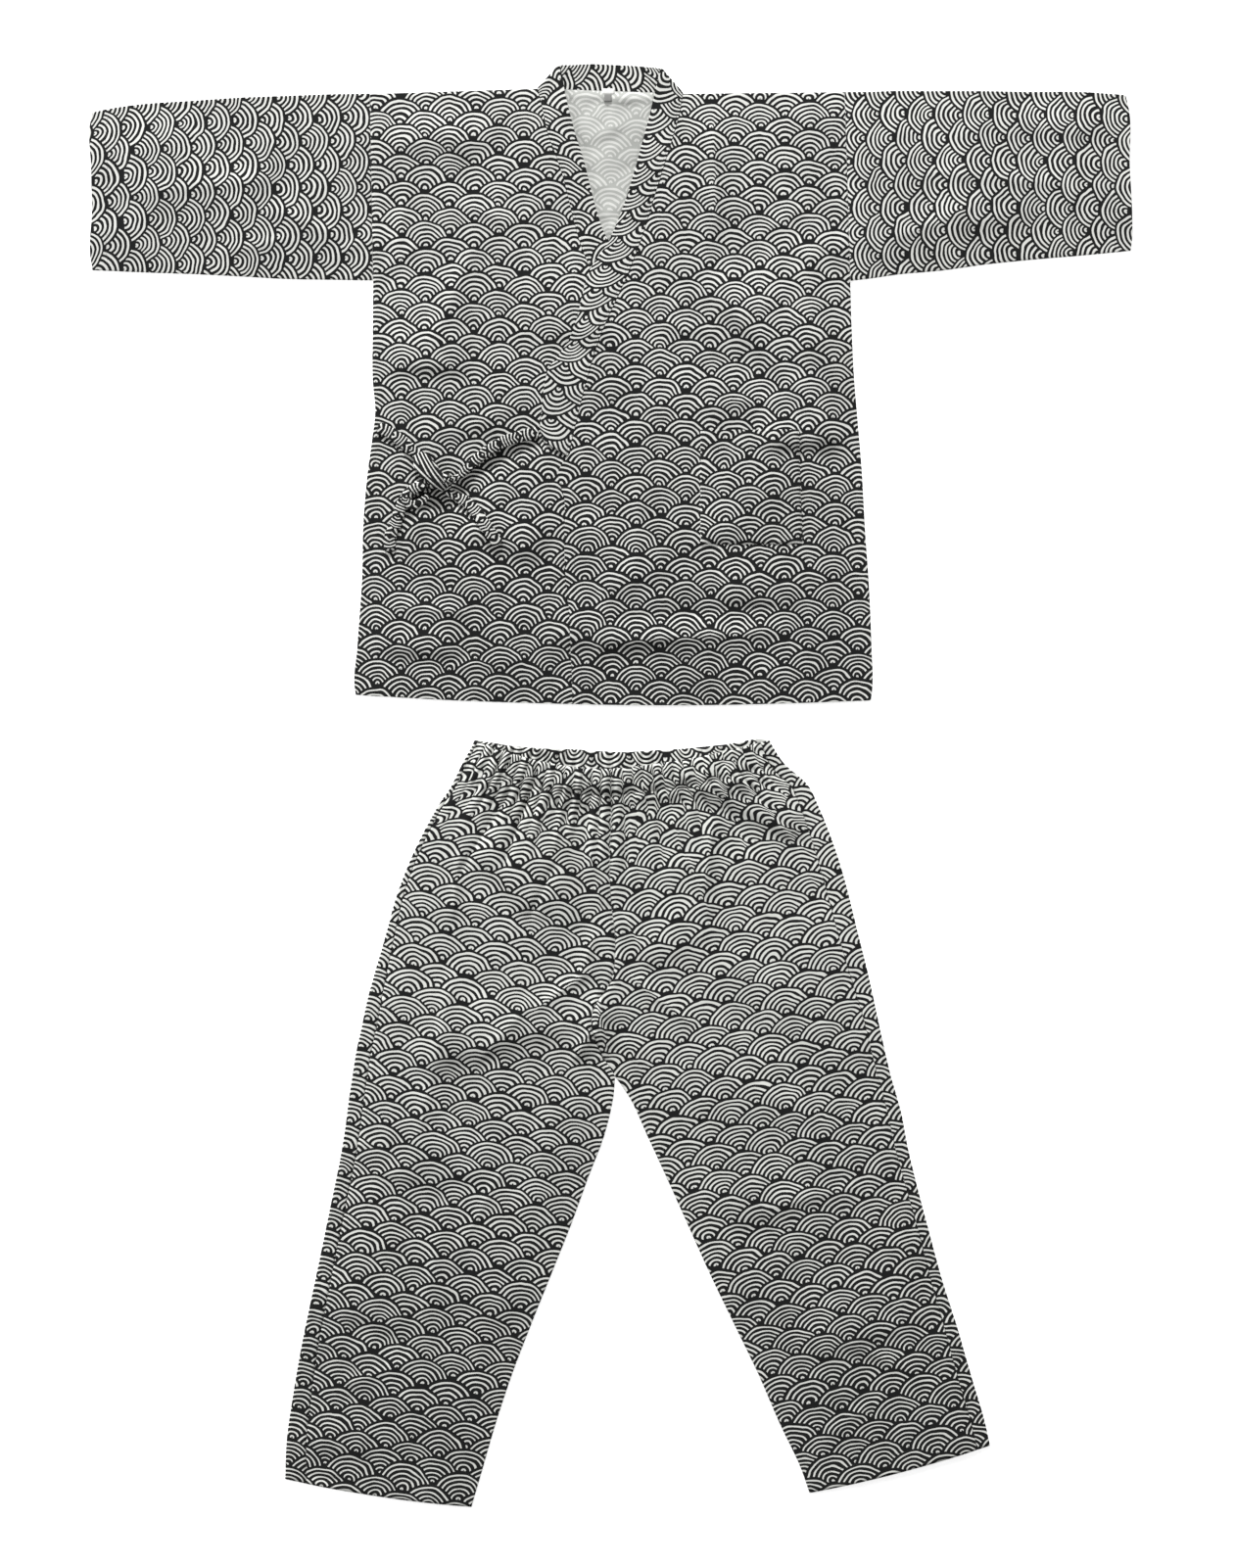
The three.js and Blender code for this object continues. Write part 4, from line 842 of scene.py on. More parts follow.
def make_collar():
    rows = closer_rows(COLLAR, (LEFT_TURN, RIGHT_TURN), PITCH, 4)
    across = shares(COLLAR_WIDTH, COLLAR_PITCH)[None, :]
    x = mix(rows[:, 0:1], rows[:, 2:3], across)
    y = mix(rows[:, 1:2], rows[:, 3:4], across)
    layer = np.repeat(rows[:, 4:5], across.shape[1], axis=1)
    z = collar_height(layer, x, y)
    varying = 1 - COLLAR_UNEVEN + COLLAR_UNEVEN * hills(x, y, 30, 11)
    puff = COLLAR_PUFF * np.sin(math.pi * across) * varying
    sewn = groove(across * COLLAR_WIDTH - COLLAR_STITCHES, *COLLAR_GROOVE)
    z = z + np.where(layer > 0.5, puff - sewn, 0)
    middle = (across.shape[1] - 1) // 2
    gone = gone_along(together(x[:, middle], y[:, middle]))
    width = np.hypot(rows[:, 0] - rows[:, 2], rows[:, 1] - rows[:, 3])[:, None]
    # the collar's print lies where the painted shade is least
    along_band = gone[:, None] + COLLAR_START + LEAST_PAINTED_SHADE
    uv = together(across * width, np.repeat(along_band, across.shape[1], axis=1))
    return shell("collar_cloth", together(x, y, z), uv, [PRINT], BAND * 0.8, facing=-1)


# Pocket and tab
POCKET = [(436, 109.5, 230), (366, 109, 232), (296, 109.5, 235)]
POCKET_HEM = 22
TAB = (-11, 4, 847.5, 854)
# the tab's tail, a dark sheet that is partly the label's lower half and partly painted shadow
TAIL_BOX = (-8.5, 0.5, 838, 848)
TAB_HEIGHT = BAND + GAP + 0.5
TAIL_HEIGHT = 3.3
TAB_BULGE = 0.25
TAPE = 0.6  # thickness
TAIL_TAPE = 0.4
POCKET_WIDTH = 122
POCKET_PITCH = 3
POCKET_EDGE = 2.8  # how much more its edges curl down than a seam's
PUFF = {"x": 167, "y": 302, "wide": 26, "tall": 9, "rise": 1.3}  # a bulge above its low edge
POCKET_PRINT = (1.01, (11.0, -8.0))  # scale and place, not matched to the front's


def make_pocket():
    tall = POCKET[0][0] - POCKET[-1][0]
    levels = POCKET[0][0] - shares(tall, POCKET_PITCH) * tall
    across = shares(POCKET_WIDTH, POCKET_PITCH)[None, :]
    starts, ends = (straight(POCKET, levels, 0, column)[:, None] for column in (1, 2))
    x = mix(starts, ends, across)
    y = np.repeat(levels[:, None], across.shape[1], axis=1)
    to_side = np.minimum(x - starts, ends - x)
    to_low = y - POCKET[-1][0]
    puff = groove(x - PUFF["x"], PUFF["rise"], PUFF["wide"]) * groove(y - PUFF["y"], 1, PUFF["tall"])
    z = over_height(x, y) + STEP + GAP - POCKET_EDGE * rolled(np.minimum(to_side, to_low))
    z = z + puckers(to_side, y, 7.0, EDGE_PUCKERS) + puckers(to_low, x, 8.0, HEM_PUCKERS)
    z = z + hem_step(POCKET[0][0] - y, POCKET_HEM) + puff * smooth(0, 5, to_low)
    uv = together(x, y) * POCKET_PRINT[0] + np.array(POCKET_PRINT[1])
    return shell("pocket_cloth", together(x, y, z), uv, [PRINT, WRONG_SIDE])


def small_sheet(name, box, height, material, thickness):
    left, right, low, top = box
    x, y = np.meshgrid(np.linspace(left, right, 9), np.linspace(top, low, 7))
    z = height + TAB_BULGE * np.sin((y - low) / (top - low) * math.pi)
    return shell(name, together(x, y, z), together(x, y), [material], thickness)


# Ties as (x, y, width, thickness, rise above the cloth)
FRONT_TIE = [
    (-88.5, 433, 13, 2.2, 0.3), (-106, 429, 14, 2.6, 0.3), (-127, 423, 14, 2.8, 0.5),
    (-150, 411, 13, 3.0, 1.0), (-167, 397, 12, 3.0, 1.6), (-183, 382, 10, 3.4, 2.6),
    (-196, 374, 6, 4.0, 3.0), (-211, 373, 6, 4.0, 3.0), (-226, 372, 6, 4.0, 3.0),
    (-239, 366, 12, 3.0, 1.8), (-250, 355, 14, 2.6, 0.8), (-258, 339, 14, 2.6, 0.3),
    (-264, 321, 14, 2.6, 0.3), (-271, 303, 14, 2.6, 0.3), (-270, 287, 13, 2.4, 0.3),
]
SIDE_TIE = [
    (-286, 440, 13, 2.2, 0.3), (-275, 435, 14, 2.4, 0.3), (-262, 427, 14, 2.6, 0.3),
    (-247, 414, 14, 2.6, 0.3), (-232, 402, 12, 2.6, 0.3), (-221, 389, 9, 2.4, 0.3),
]
SIDE_TIE_END = [
    (-200, 362, 9, 2.4, 0.3), (-188, 354, 12, 2.6, 0.3), (-175, 346, 14, 2.6, 0.3),
    (-164, 334, 14, 2.6, 0.3), (-153, 317, 14, 2.6, 0.3), (-145, 306, 14, 2.6, 0.3),
    (-138, 295, 13, 2.4, 0.3),
]
KNOT = {
    "x": -211, "y": 373, "out": 7.5, "up": 4.6, "middle": 6.2, "advance": 15, "wide": 17, "thick": 3.4,
}
KNOT_FAN = [  # the gathered bundle that leaves the knot at its upper left
    (-237, 407, 12, 2.5, 0.8), (-233, 400, 21, 3.4, 3.4), (-227, 391, 25, 4.2, 6.0),
    (-219, 381, 23, 4.4, 7.4), (-210, 372, 17, 4.2, 7.4), (-201, 364, 10, 3.2, 4.6),
]
KNOT_LOOP = [  # a small loop left of the knot
    (-224, 368, 9, 3.0, 4.2), (-235, 366, 12, 3.2, 4.0), (-246, 360, 12, 3.2, 3.2),
    (-251, 351, 11, 3.0, 2.2), (-245, 344, 11, 3.0, 2.0), (-234, 347, 10, 3.0, 2.2),
    (-223, 356, 8, 2.8, 3.0),
]
KNOT_STATIONS = 24
TIE_FULLNESS = 1.5  # the soft strips bulge more than their simple form
TIE_ROOM = 0.5  # below a tie, above the middle of the cloth's wall


def tie_rows(table):
    """Rows (x, y, z, width, thickness) of a tie's middle line."""
    x, y, width, thick, rise = np.array(table, float).T
    thick = thick * TIE_FULLNESS
    return together(x, y, cloth_height(x, y) + TIE_ROOM + rise + thick / 2, width, thick)


def knot_rows():
    """One turn of the side tie round the front tie."""
    part = np.linspace(0, 1, KNOT_STATIONS + 1)
    ground = float(cloth_height(np.array([KNOT["x"]]), np.array([KNOT["y"]]))[0]) + TIE_ROOM
    x = KNOT["x"] + (part - 0.5) * KNOT["advance"]
    y = KNOT["y"] - KNOT["out"] * np.sin(2 * math.pi * part)
    z = ground + KNOT["middle"] - KNOT["up"] * np.cos(2 * math.pi * part)
    full = np.ones(len(part))
    return together(x, y, z, full * KNOT["wide"], full * KNOT["thick"])


SECTION_SIDES = 28
STRIP_PITCH = 1.6
ROUND_KNOT = (6, 2)  # how far before and after the turn's ends its width comes to lie along X
EDGE_CREASE = {"depth": 0.16, "change": 0.06}  # lengthwise creases, as shares of the thickness
CROSS_CREASE = {"depth": 0.13, "pitch": 1.35, "slant": 2.4, "change": 0.11}
UNEVEN_WIDTH = {"share": 0.07, "pitch": 0.45}
SECTION_SQUARE = 0.8  # below 1 the section is fuller than an ellipse
TIE_PRINT = 1.45  # the scrunched ties hide part of their length, so that the rings lie closer


def strip(rows, seed, turned=None, lengthwise=False):
    """Points and flat places of a scrunched strip of doubled cloth, closed at both ends. The
    print's rings run across the strip, or lengthwise."""
    keys = gone_along(rows[:, :3])
    at = np.linspace(0, keys[-1], round(keys[-1] / STRIP_PITCH))
    middle = together(*(curve(keys, rows[:, i], at) for i in range(3)))
    wide, thick = (np.interp(at, keys, rows[:, i]) for i in (3, 4))
    ahead = np.gradient(middle, axis=0)
    ahead /= np.linalg.norm(ahead, axis=1)[:, None]
    across = np.cross(np.array([0, 0, 1.0]), ahead)
    if turned is not None:
        first, last = turned
        out, within = ROUND_KNOT
        share = smooth(keys[first] - out, keys[first] + within, at)
        share = share * (1 - smooth(keys[last] - within, keys[last] + out, at))
        across = mix(across, np.array([1.0, 0, 0]), share[:, None])
    across -= ahead * np.sum(across * ahead, axis=1)[:, None]
    across /= np.linalg.norm(across, axis=1)[:, None]
    up = np.cross(ahead, across)
    angle = np.linspace(0, 2 * math.pi, SECTION_SIDES + 1)
    s, a = np.meshgrid(at, angle, indexing="ij")
    off = np.abs(np.cos(a))
    edge, cross = EDGE_CREASE, CROSS_CREASE
    crease = 1 + edge["depth"] * np.cos(3 * math.pi * np.cos(a) + edge["change"] * s + seed)
    fading = 0.5 + 0.5 * np.sin(cross["change"] * s + seed)
    crease += cross["depth"] * np.sin(cross["pitch"] * s + cross["slant"] * off + seed) * fading
    uneven = 1 + UNEVEN_WIDTH["share"] * np.sin(UNEVEN_WIDTH["pitch"] * s + 2 * seed)
    side = np.cos(a) * wide[:, None] / 2 * uneven
    rise = np.sign(np.sin(a)) * np.abs(np.sin(a)) ** SECTION_SQUARE * thick[:, None] / 2 * crease
    points = middle[:, None] + across[:, None] * side[..., None] + up[:, None] * rise[..., None]
    beside = 7 + 3 * np.sin(0.11 * s + seed) + 5 * off
    gone = TIE_PRINT * s + 31 * seed
    if lengthwise:
        beside, gone = 9 + 0.2 * s, TIE_PRINT * side + 14
    for end in (0, -1):
        points[end] = points[end].mean(axis=0)
    return points, together(beside, gone)


WELDED = 0.00002  # metres


def tie(name, *strips):
    points, maps = zip(*strips)
    piece = shell(name, points, maps, [PRINT], closed=True, facing=-1)
    piece.modifiers.new("weld", "WELD").merge_threshold = WELDED
    return piece


# Trousers as (inner y, inner x, outer x, outer y, wrap, sag). A row runs from the outer edge to
# the inner one, which is the centre seam down to the crotch and then the inside leg.
CENTRE = [
    (60, 0), (-36, 0), (-92, -2), (-134, -1), (-190, 5), (-236, 1), (-264, -17), (-290, -24),
    (-322, -15), (-356, 5),
]
CENTRE_LEVELS = (21, -14, -36, -58, -98, -142, -190, -236, -264, -290, -322, -356)
CROTCH_ROW = len(CENTRE_LEVELS) - 1


def with_centre(rows):
    return [(y, float(straight(CENTRE, y)), *row) for y, row in zip(CENTRE_LEVELS, rows)]


LEFT_LEG = with_centre([
    (-166, 56, 3, -9), (-182, 27, 4, -6), (-197, -3, 5, -3), (-212, -25, 5, -2), (-238, -74, 6, 0),
    (-261, -130, 8, 0), (-277, -187, 11, 0), (-291, -235, 15, 0), (-299, -265, 17, 0),
    (-305, -294, 18, 0), (-312, -326, 18, 0), (-317, -358, 18, 0),
]) + [
    (-386, 2, -321, -384, 18, 0), (-430, -9, -326, -423, 18, 0), (-480, -28, -333, -464, 18, 0),
    (-540, -50, -344, -517, 18, 0), (-600, -74, -355, -571, 18, 0), (-660, -98, -367, -628, 19, 0),
    (-720, -121, -379, -686, 20, 0), (-780, -141, -389, -744, 22, 0), (-835, -157, -397, -800, 24, -2),
    (-883, -171, -399, -849, 26, -4),
]
RIGHT_LEG = with_centre([
    (193, 56, 10, -5), (212, 27, 16, -4), (239, 3, 19, -3), (252, -21, 21, -2), (271, -68, 24, 0),
    (287, -119, 25, 0), (302, -180, 24, 0), (315, -232, 22, 0), (322, -264, 19, 0),
    (328, -292, 17, 0), (335, -324, 16, 0), (342, -354, 16, 0),
]) + [
    (-386, 25, 349, -378, 16, 0), (-430, 45, 356, -404, 16, 0), (-480, 68, 363, -442, 15, 0),
    (-540, 95, 375, -492, 13, 0), (-600, 122, 389, -545, 12, 0), (-660, 151, 405, -604, 13, 0),
    (-720, 180, 424, -664, 15, 0), (-780, 206, 441, -723, 16, 0), (-830, 230, 456, -773, 16, -2),
    (-866, 243, 464, -808, 16, -4),
]
BACK_WAIST = [
    (-168, 57), (-130, 50), (-88, 46), (-50, 45.5), (-19, 43), (18, 41.5), (56, 44), (92, 46),
    (142, 51), (179, 58), (196, 55),
]
BACK_WAIST_MIDDLE = 42
OUTER_EDGES = [[(row[2], row[3]) for row in leg] for leg in (LEFT_LEG, RIGHT_LEG)]
INNER_EDGES = [[(row[1], row[0]) for row in leg[CROTCH_ROW:]] for leg in (LEFT_LEG, RIGHT_LEG)]


def trouser_lift(x, y):
    return lift_of(OUTER_EDGES + INNER_EDGES, TROUSER_FOLDS, TROUSER_SLOPES, 21, x, y)


def on_row(rows, across, outer_room=0.0, inner_room=0.0):
    """Points across each row, 0 at the outer edge and 1 at the inner, moved in from each seam."""
    inner_y, inner_x, outer_x, outer_y, _, sag = (rows[:, i:i + 1] for i in range(6))
    span = np.hypot(inner_x - outer_x, inner_y - outer_y)
    t = mix(outer_room / span, 1 - inner_room / span, across)
    return mix(outer_x, inner_x, t), mix(outer_y, inner_y, t) + sag * 4 * t * (1 - t)


GATHER_START = 0.6
GATHER_SHARP = 0.6  # below 1 the gathers' crests are broad and their troughs sharp
GATHER_SCALE = 1.9
UNEVEN = {"share": 0.22, "waves": 5.3, "start": 1.0}


def gather_wave(across):
    even = 0.5 - 0.5 * np.cos(2 * math.pi * GATHERS_A_PANEL * across + GATHER_START)
    change = np.sin(2 * math.pi * UNEVEN["waves"] * across + UNEVEN["start"])
    depth = 1 - UNEVEN["share"] + UNEVEN["share"] * change
    return GATHER_SCALE * GATHER_HEIGHT * even**GATHER_SHARP * depth * smooth(0.01, 0.09, across)


GATHER_SEED = 17
SHORTEST_GATHER = 34
MORE_LENGTH = 135  # of the longest, and most are short
GATHER_LENGTHS = np.random.default_rng(GATHER_SEED).uniform(0, 1, GATHERS_A_PANEL + 2) ** 1.8
GATHER_LENGTHS = GATHER_LENGTHS * MORE_LENGTH + SHORTEST_GATHER
CREASE_WIDTH = 0.09  # half of it, in gathers
HIDDEN_A_GATHER = 4.8  # cloth that a gather's crease hides at the casing


def gathers(across, below):
    """How strong each point's gather still is, and how far the gathers have moved the print."""
    place = GATHERS_A_PANEL * across + GATHER_START / (2 * math.pi)
    length = GATHER_LENGTHS[np.clip(np.floor(place).astype(int), 0, GATHERS_A_PANEL + 1)]
    fading = 1 - smooth(CASING_WIDTH, CASING_WIDTH + length, below)
    moved = np.zeros(np.broadcast(across, below).shape)
    for i in range(1, GATHERS_A_PANEL + 1):
        long = max(GATHER_LENGTHS[i - 1], GATHER_LENGTHS[i])
        still = 1 - smooth(CASING_WIDTH, CASING_WIDTH + long, below)
        moved = moved + HIDDEN_A_GATHER * still * (smooth(-CREASE_WIDTH, CREASE_WIDTH, place - i) - 0.5)
    return fading, moved


CENTRE_DIP = 1.3
DENTS = 0.95
CASING_GROOVE = (2.4, 3.4)  # depth and reach of the groove at the casing's stitches


def tightness(below):
    """1 on the elastic casing, falling to 0 a little below it."""
    return 1 - smooth(CASING_WIDTH - 4, CASING_WIDTH + 40, below)


def waist_relief(across, below):
    """The dents, and the groove at the casing's stitches, that all layers of the waist share."""
    sewn = groove(below - CASING_WIDTH, *CASING_GROOVE) * smooth(0, 0.04, across)
    return DENTS * tightness(below) * hills(across * 420, below * 0.7, 17, 5) - sewn


def centre_dip(to_centre):
    return CENTRE_DIP * (1 - smooth(0, 4.5, to_centre))


DRAWN_TOGETHER = ((0.28, 150), (0.14, 60))  # by what share, and how far below the waist


def leg_print(x, y, rows, below, degrees):
    """Place in the flat cloth: the rows are turned, and gathers draw them together at the waist."""
    centre = rows[:, 1:2]
    gathered = 1 + sum(share * (1 - smooth(0, reach, below)) for share, reach in DRAWN_TOGETHER)
    turn = math.radians(degrees)
    level = (x - centre) * gathered + centre
    across = level * math.cos(turn) - y * math.sin(turn)
    up = x * math.sin(turn) + y * math.cos(turn)
    return together(across * TROUSER_PRINT[0], up * TROUSER_PRINT[1])


def row_widths(rows):
    return np.hypot(rows[:, 1] - rows[:, 2], rows[:, 0] - rows[:, 3])[:, None]


def uneven_pair(x, y, first, second):
    """Two kinds of hills as a place that moves the print. Each is (size, seed)."""
    return together(hills(x, y, *first), hills(x, y, *second))


FRONT_PITCH = 3.6
FRONT_ACROSS = np.concatenate([[0, 0.0025], np.linspace(0.008, 0.992, 112), [0.9975, 1]])[None, :]
BUNCHED = {"y": -285, "reach": 40, "wide": 16, "pitch": 9.5, "rise": 1.5}  # above the crotch
CRUMPLED = 1.9  # how far small hidden creases move the print below the waist, and on the casing
CRUMPLED_CASING = 0.8
TURNED_TOP = (1.2, 3)  # how far the front's top edge bends down, and how far below it that starts
CROTCH_TOP = (-380, -340)
FRONT_LEAST = 0.2  # above the low surface, and how much more on the casings
CASINGS_LEAST = 1.9


def trouser_front(name, leg, degrees):
    rows = closer_rows(leg, (CROTCH_ROW,), FRONT_PITCH)
    across = FRONT_ACROSS
    x, y = on_row(rows, across, rows[:, 4:5] + GAP, GAP / 2)
    below = on_row(np.array(leg[:1], float), across)[1] - y
    fading, moved = gathers(across, below)
    on_casing = 1 - smooth(0, 20, below - CASING_WIDTH)
    stack = 2 * CASING_STEP * on_casing * smooth(0, 0.06, across)
    z = UPPER + trouser_lift(x, y) + stack + gather_wave(across) * fading
    z = z + waist_relief(across, below)
    width = row_widths(rows)
    seams = np.minimum(across, 1 - across) * width
    turned = TURNED_TOP[0] * (1 - smooth(0, TURNED_TOP[1], below))
    z = z - rolled(seams) - turned + puckers(seams, y, 5.0, EDGE_PUCKERS)
    to_centre = (1 - across) * width
    z = z - smooth(*CROTCH_TOP, y) * centre_dip(to_centre)
    bunched = groove(y - BUNCHED["y"], BUNCHED["rise"], BUNCHED["reach"])
    bunched = bunched * groove(to_centre, 1, BUNCHED["wide"])
    z = z + bunched * (0.6 + np.sin(2 * math.pi * (y + 0.4 * to_centre) / BUNCHED["pitch"]))
    hem = [(leg[-1][2], leg[-1][3]), (leg[-1][1], leg[-1][0])]
    least = LOW + FRONT_LEAST + CASINGS_LEAST * on_casing
    z = np.maximum(z + hem_step(distance_to(hem, x, y)), least)
    near = 1 - smooth(CASING_WIDTH, CASING_WIDTH + GATHER_FADE, below)
    crumpled = CRUMPLED * near[..., None] * uneven_pair(x, y, (38, 8), (30, 9))
    crumpled += CRUMPLED_CASING * tightness(below)[..., None] * uneven_pair(x, y, (21, 12), (19, 13))
    facing = 1 if leg is LEFT_LEG else -1
    uv = leg_print(x, y, rows, below, degrees) + hidden_cloth(TROUSER_FOLDS, x, y) + crumpled
    uv[..., 0] += facing * moved
    return shell(name, together(x, y, z), uv, [TROUSER_CLOTH, WRONG_SIDE], facing=facing)


BACK_PITCH = 5.0
BACK_PRINT = (21, 9)  # the backs' print isn't matched to the fronts'
NO_GATHERS = 999.0  # far below the waist


def trouser_back(name, leg, degrees):
    """It lies on the floor, turns up at the outer edge and ends at the side seam in front."""
    rows = closer_rows(leg, (CROTCH_ROW,), BACK_PITCH)
    turn = STEP / 2
    flat_rows = rows.copy()
    at_waist = 1 - smooth(0, 12, leg[0][0] - rows[:, 0])
    flat_rows[:, 0] = mix(rows[:, 0], BACK_WAIST_MIDDLE, at_waist)
    flat_rows[:, 5] = rows[:, 5] * (1 - at_waist)
    under_x, under_y = on_row(flat_rows, np.linspace(1, 0, 42)[None, :], turn, GAP / 2)
    under_y = mix(under_y, straight(BACK_WAIST, under_x), at_waist[:, None])
    inner_y, inner_x, outer_x, outer_y, wrap, sag = (rows[:, i:i + 1] for i in range(6))
    rooms = np.linspace(0, 1, 7)[None, :]
    t = mix(turn, wrap, rooms) / row_widths(rows)
    over_x = mix(outer_x, inner_x, t)
    over_y = mix(outer_y, inner_y, t) + sag * 4 * t * (1 - t)
    over_z = UPPER + trouser_lift(over_x, over_y) - rolled((1 - rooms) * wrap)
    x = np.concatenate([under_x, outer_x, over_x], axis=1)
    y = np.concatenate([under_y, outer_y, over_y], axis=1)
    z = np.concatenate([0 * under_x + LOW, 0 * outer_x + LOW + turn, over_z], axis=1)
    side = 1 if leg is RIGHT_LEG else -1
    unfolded = np.where(np.arange(x.shape[1]) < under_x.shape[1], 2 * outer_x - x, x)
    uv = leg_print(unfolded, y, rows, NO_GATHERS, degrees) + np.array([BACK_PRINT[0] * side, BACK_PRINT[1]])
    return shell(name, together(x, y, z), uv, [TROUSER_CLOTH, WRONG_SIDE], facing=-side)


CASING_STARTS = (0.02, 0.0833)  # share across a panel, for the back casing and the front one
CASING_MOST = 0.92  # of the depth of a leg's first row
CASING_PRINT = -1.3  # the gathered cloth's length against the casing's
CASING_LEAST = 0.75  # between a casing and the surface below it


def casing(name, edge_of, layer, materials):
    """A turned-in strip whose waves nest with the front's."""
    across = np.linspace(CASING_STARTS[layer], 1, 100)
    parts = []
    for leg in (LEFT_LEG, RIGHT_LEG):
        first, second = (on_row(np.array([row], float), across, row[4] + GAP, GAP / 2) for row in leg[:2])
        x, y = first[0][0], first[1][0]
        deep = y - second[1][0]
        lean = (x - second[0][0]) / deep
        parts.append(together(across, x, y, lean, deep))
    line = np.concatenate([parts[0], parts[1][::-1][1:]])
    across, edge_x, edge_y, lean, deep = line.T
    down = np.linspace(0, 1, 13)[:, None]
    y = edge_of(edge_x, edge_y) - down * np.minimum(CASING_WIDTH, CASING_MOST * deep)
    x = edge_x + (y - edge_y) * lean
    z = UPPER + layer * CASING_STEP + trouser_lift(x, y) + gather_wave(across)
    z = z + waist_relief(across, edge_y - y)
    z = z - 0.5 * (1 - smooth(0, 3, down * CASING_WIDTH)) - centre_dip(np.abs(x)) - rolled(np.abs(x))
    z = np.maximum(z, LOW + CASING_LEAST * (layer + 1))
    gone = gone_along(line[:, 1:3])
    wrinkle = 1.2 * hills(x, y, 30, 31)
    # the casing's print lies where the painted shade is least, so that the waist is painted as lit
    uv = together(gone * CASING_PRINT + wrinkle, LEAST_PAINTED_SHADE - y + wrinkle * 0.6)
    return shell(name, together(x, y, z), uv, materials)


# Sewing: short raised stitches joined into one mesh for each piece
STITCH = {"pitch": 3.4, "length": 2.3, "width": 0.45, "height": 0.3, "sunk": 0.09}
UP = Vector((0, 0, 1))
FROM_ABOVE = 0.1  # metres: above every piece


def stitches(name, piece, *lines):
    """Stitches along lines of (x, y) corners, lying on a piece."""
    tree = BVHTree.FromObject(piece, bpy.context.evaluated_depsgraph_get())
    verts, faces = [], []
    for line in lines:
        corners = np.array(line, float)
        keys = gone_along(corners)
        for at in np.arange(STITCH["pitch"] / 2, keys[-1], STITCH["pitch"]):
            ends = []
            for offset in (-0.5, 0, 0.5):
                s = at + offset * STITCH["length"]
                x, y = (np.interp(s, keys, corners[:, i]) for i in (0, 1))
                ends.append(tree.ray_cast(Vector((x * MM, y * MM, FROM_ABOVE)), -UP)[0])
            if None in ends:
                continue
            back, middle, ahead = ends
            aside = (ahead - back).cross(UP).normalized() * STITCH["width"] / 2 * MM
            top, low = middle + UP * STITCH["height"] * MM, middle - UP * STITCH["sunk"] * MM
            base = len(verts)
            verts += [back, ahead, middle + aside, middle - aside, top, low]
            for a, b in ((0, 2), (2, 1), (1, 3), (3, 0)):
                faces.append((base + a, base + b, base + 4))
                faces.append((base + b, base + a, base + 5))
    mesh = bpy.data.meshes.new(name)
    mesh.from_pydata([tuple(v) for v in verts], [], faces)
    mesh.update()
    places = mesh.uv_layers.new(name="cloth")
    for loop in mesh.loops:
        corner = mesh.vertices[loop.vertex_index].co
        places.data[loop.index].uv = (corner.x, corner.y)
    mesh.materials.append(THREAD)
    thread = bpy.data.objects.new(name, mesh)
    bpy.context.scene.collection.objects.link(thread)
    return dress(thread, "print")


def sampled(edge, low, high, inset):
    """A line of (x, y) beside an edge, whose table gives x for y."""
    return [(float(curved(edge, y)) + inset, float(y)) for y in np.linspace(low, high, 40)]


def hem_line(left, right, above):
    return [(x, float(curved(HEM_LINE, x)) + above) for x in np.linspace(left, right, 40)]


# The set
def make_shirt():
    back = dress(make_back(), "wrong_side", "shirt_back")
    right = front(
        "shirt_front_right_cloth", LEFT_EDGE, lambda y: curved(UNDER_EDGE, y) - EDGE_ROOM,
        FRONT_WIDTHS[0], cloth_height, moved=UNDER_PRINT,
    )
    dress(right, "print", "shirt_front_right")
    left = front(
        "shirt_front_left_cloth", lambda y: curved(OVER_EDGE, y) + EDGE_ROOM, RIGHT_EDGE,
        FRONT_WIDTHS[1], over_height, OPEN_EDGE,
    )
    dress(left, "print", "shirt_front_left")
    sleeve_right = sleeve("sleeve_right_cloth", LEFT_SLEEVE, LEFT_ARMHOLE, LEFT_CUFF, 1)
    dress(sleeve_right, "print", "sleeve_right")
    sleeve_left = sleeve("sleeve_left_cloth", RIGHT_SLEEVE, RIGHT_ARMHOLE, RIGHT_CUFF, -1)
    dress(sleeve_left, "print", "sleeve_left")
    collar = dress(make_collar(), "print", "collar")
    pocket = dress(make_pocket(), "print", "pocket")
    tab = small_sheet("neck_tab_tape", TAB, TAB_HEIGHT, PLAIN_TAB, TAPE)
    dress(tab, "plain_tab", "neck_tab")
    # the tab's tail: its dark grey is partly painted shadow
    dress(small_sheet("neck_tab_tail_and_painted_shadow", TAIL_BOX, TAIL_HEIGHT, TAB_TAIL_AND_PAINTED_SHADOW, TAIL_TAPE), "plain_tab")
    tie_front = tie("tie_front_strip", strip(tie_rows(FRONT_TIE), 1.0), strip(tie_rows(KNOT_LOOP), 3.1))
    dress(tie_front, "print", "tie_front")
    side = np.concatenate([tie_rows(SIDE_TIE), knot_rows(), tie_rows(SIDE_TIE_END)])
    knot = (len(SIDE_TIE), len(SIDE_TIE) + KNOT_STATIONS)
    fan = strip(tie_rows(KNOT_FAN), 4.2, lengthwise=True)
    tie_side = dress(tie("tie_side_strip", strip(side, 2.3, knot), fan), "print", "tie_side")
    sew_shirt(right, left, sleeve_right, sleeve_left, collar, pocket)


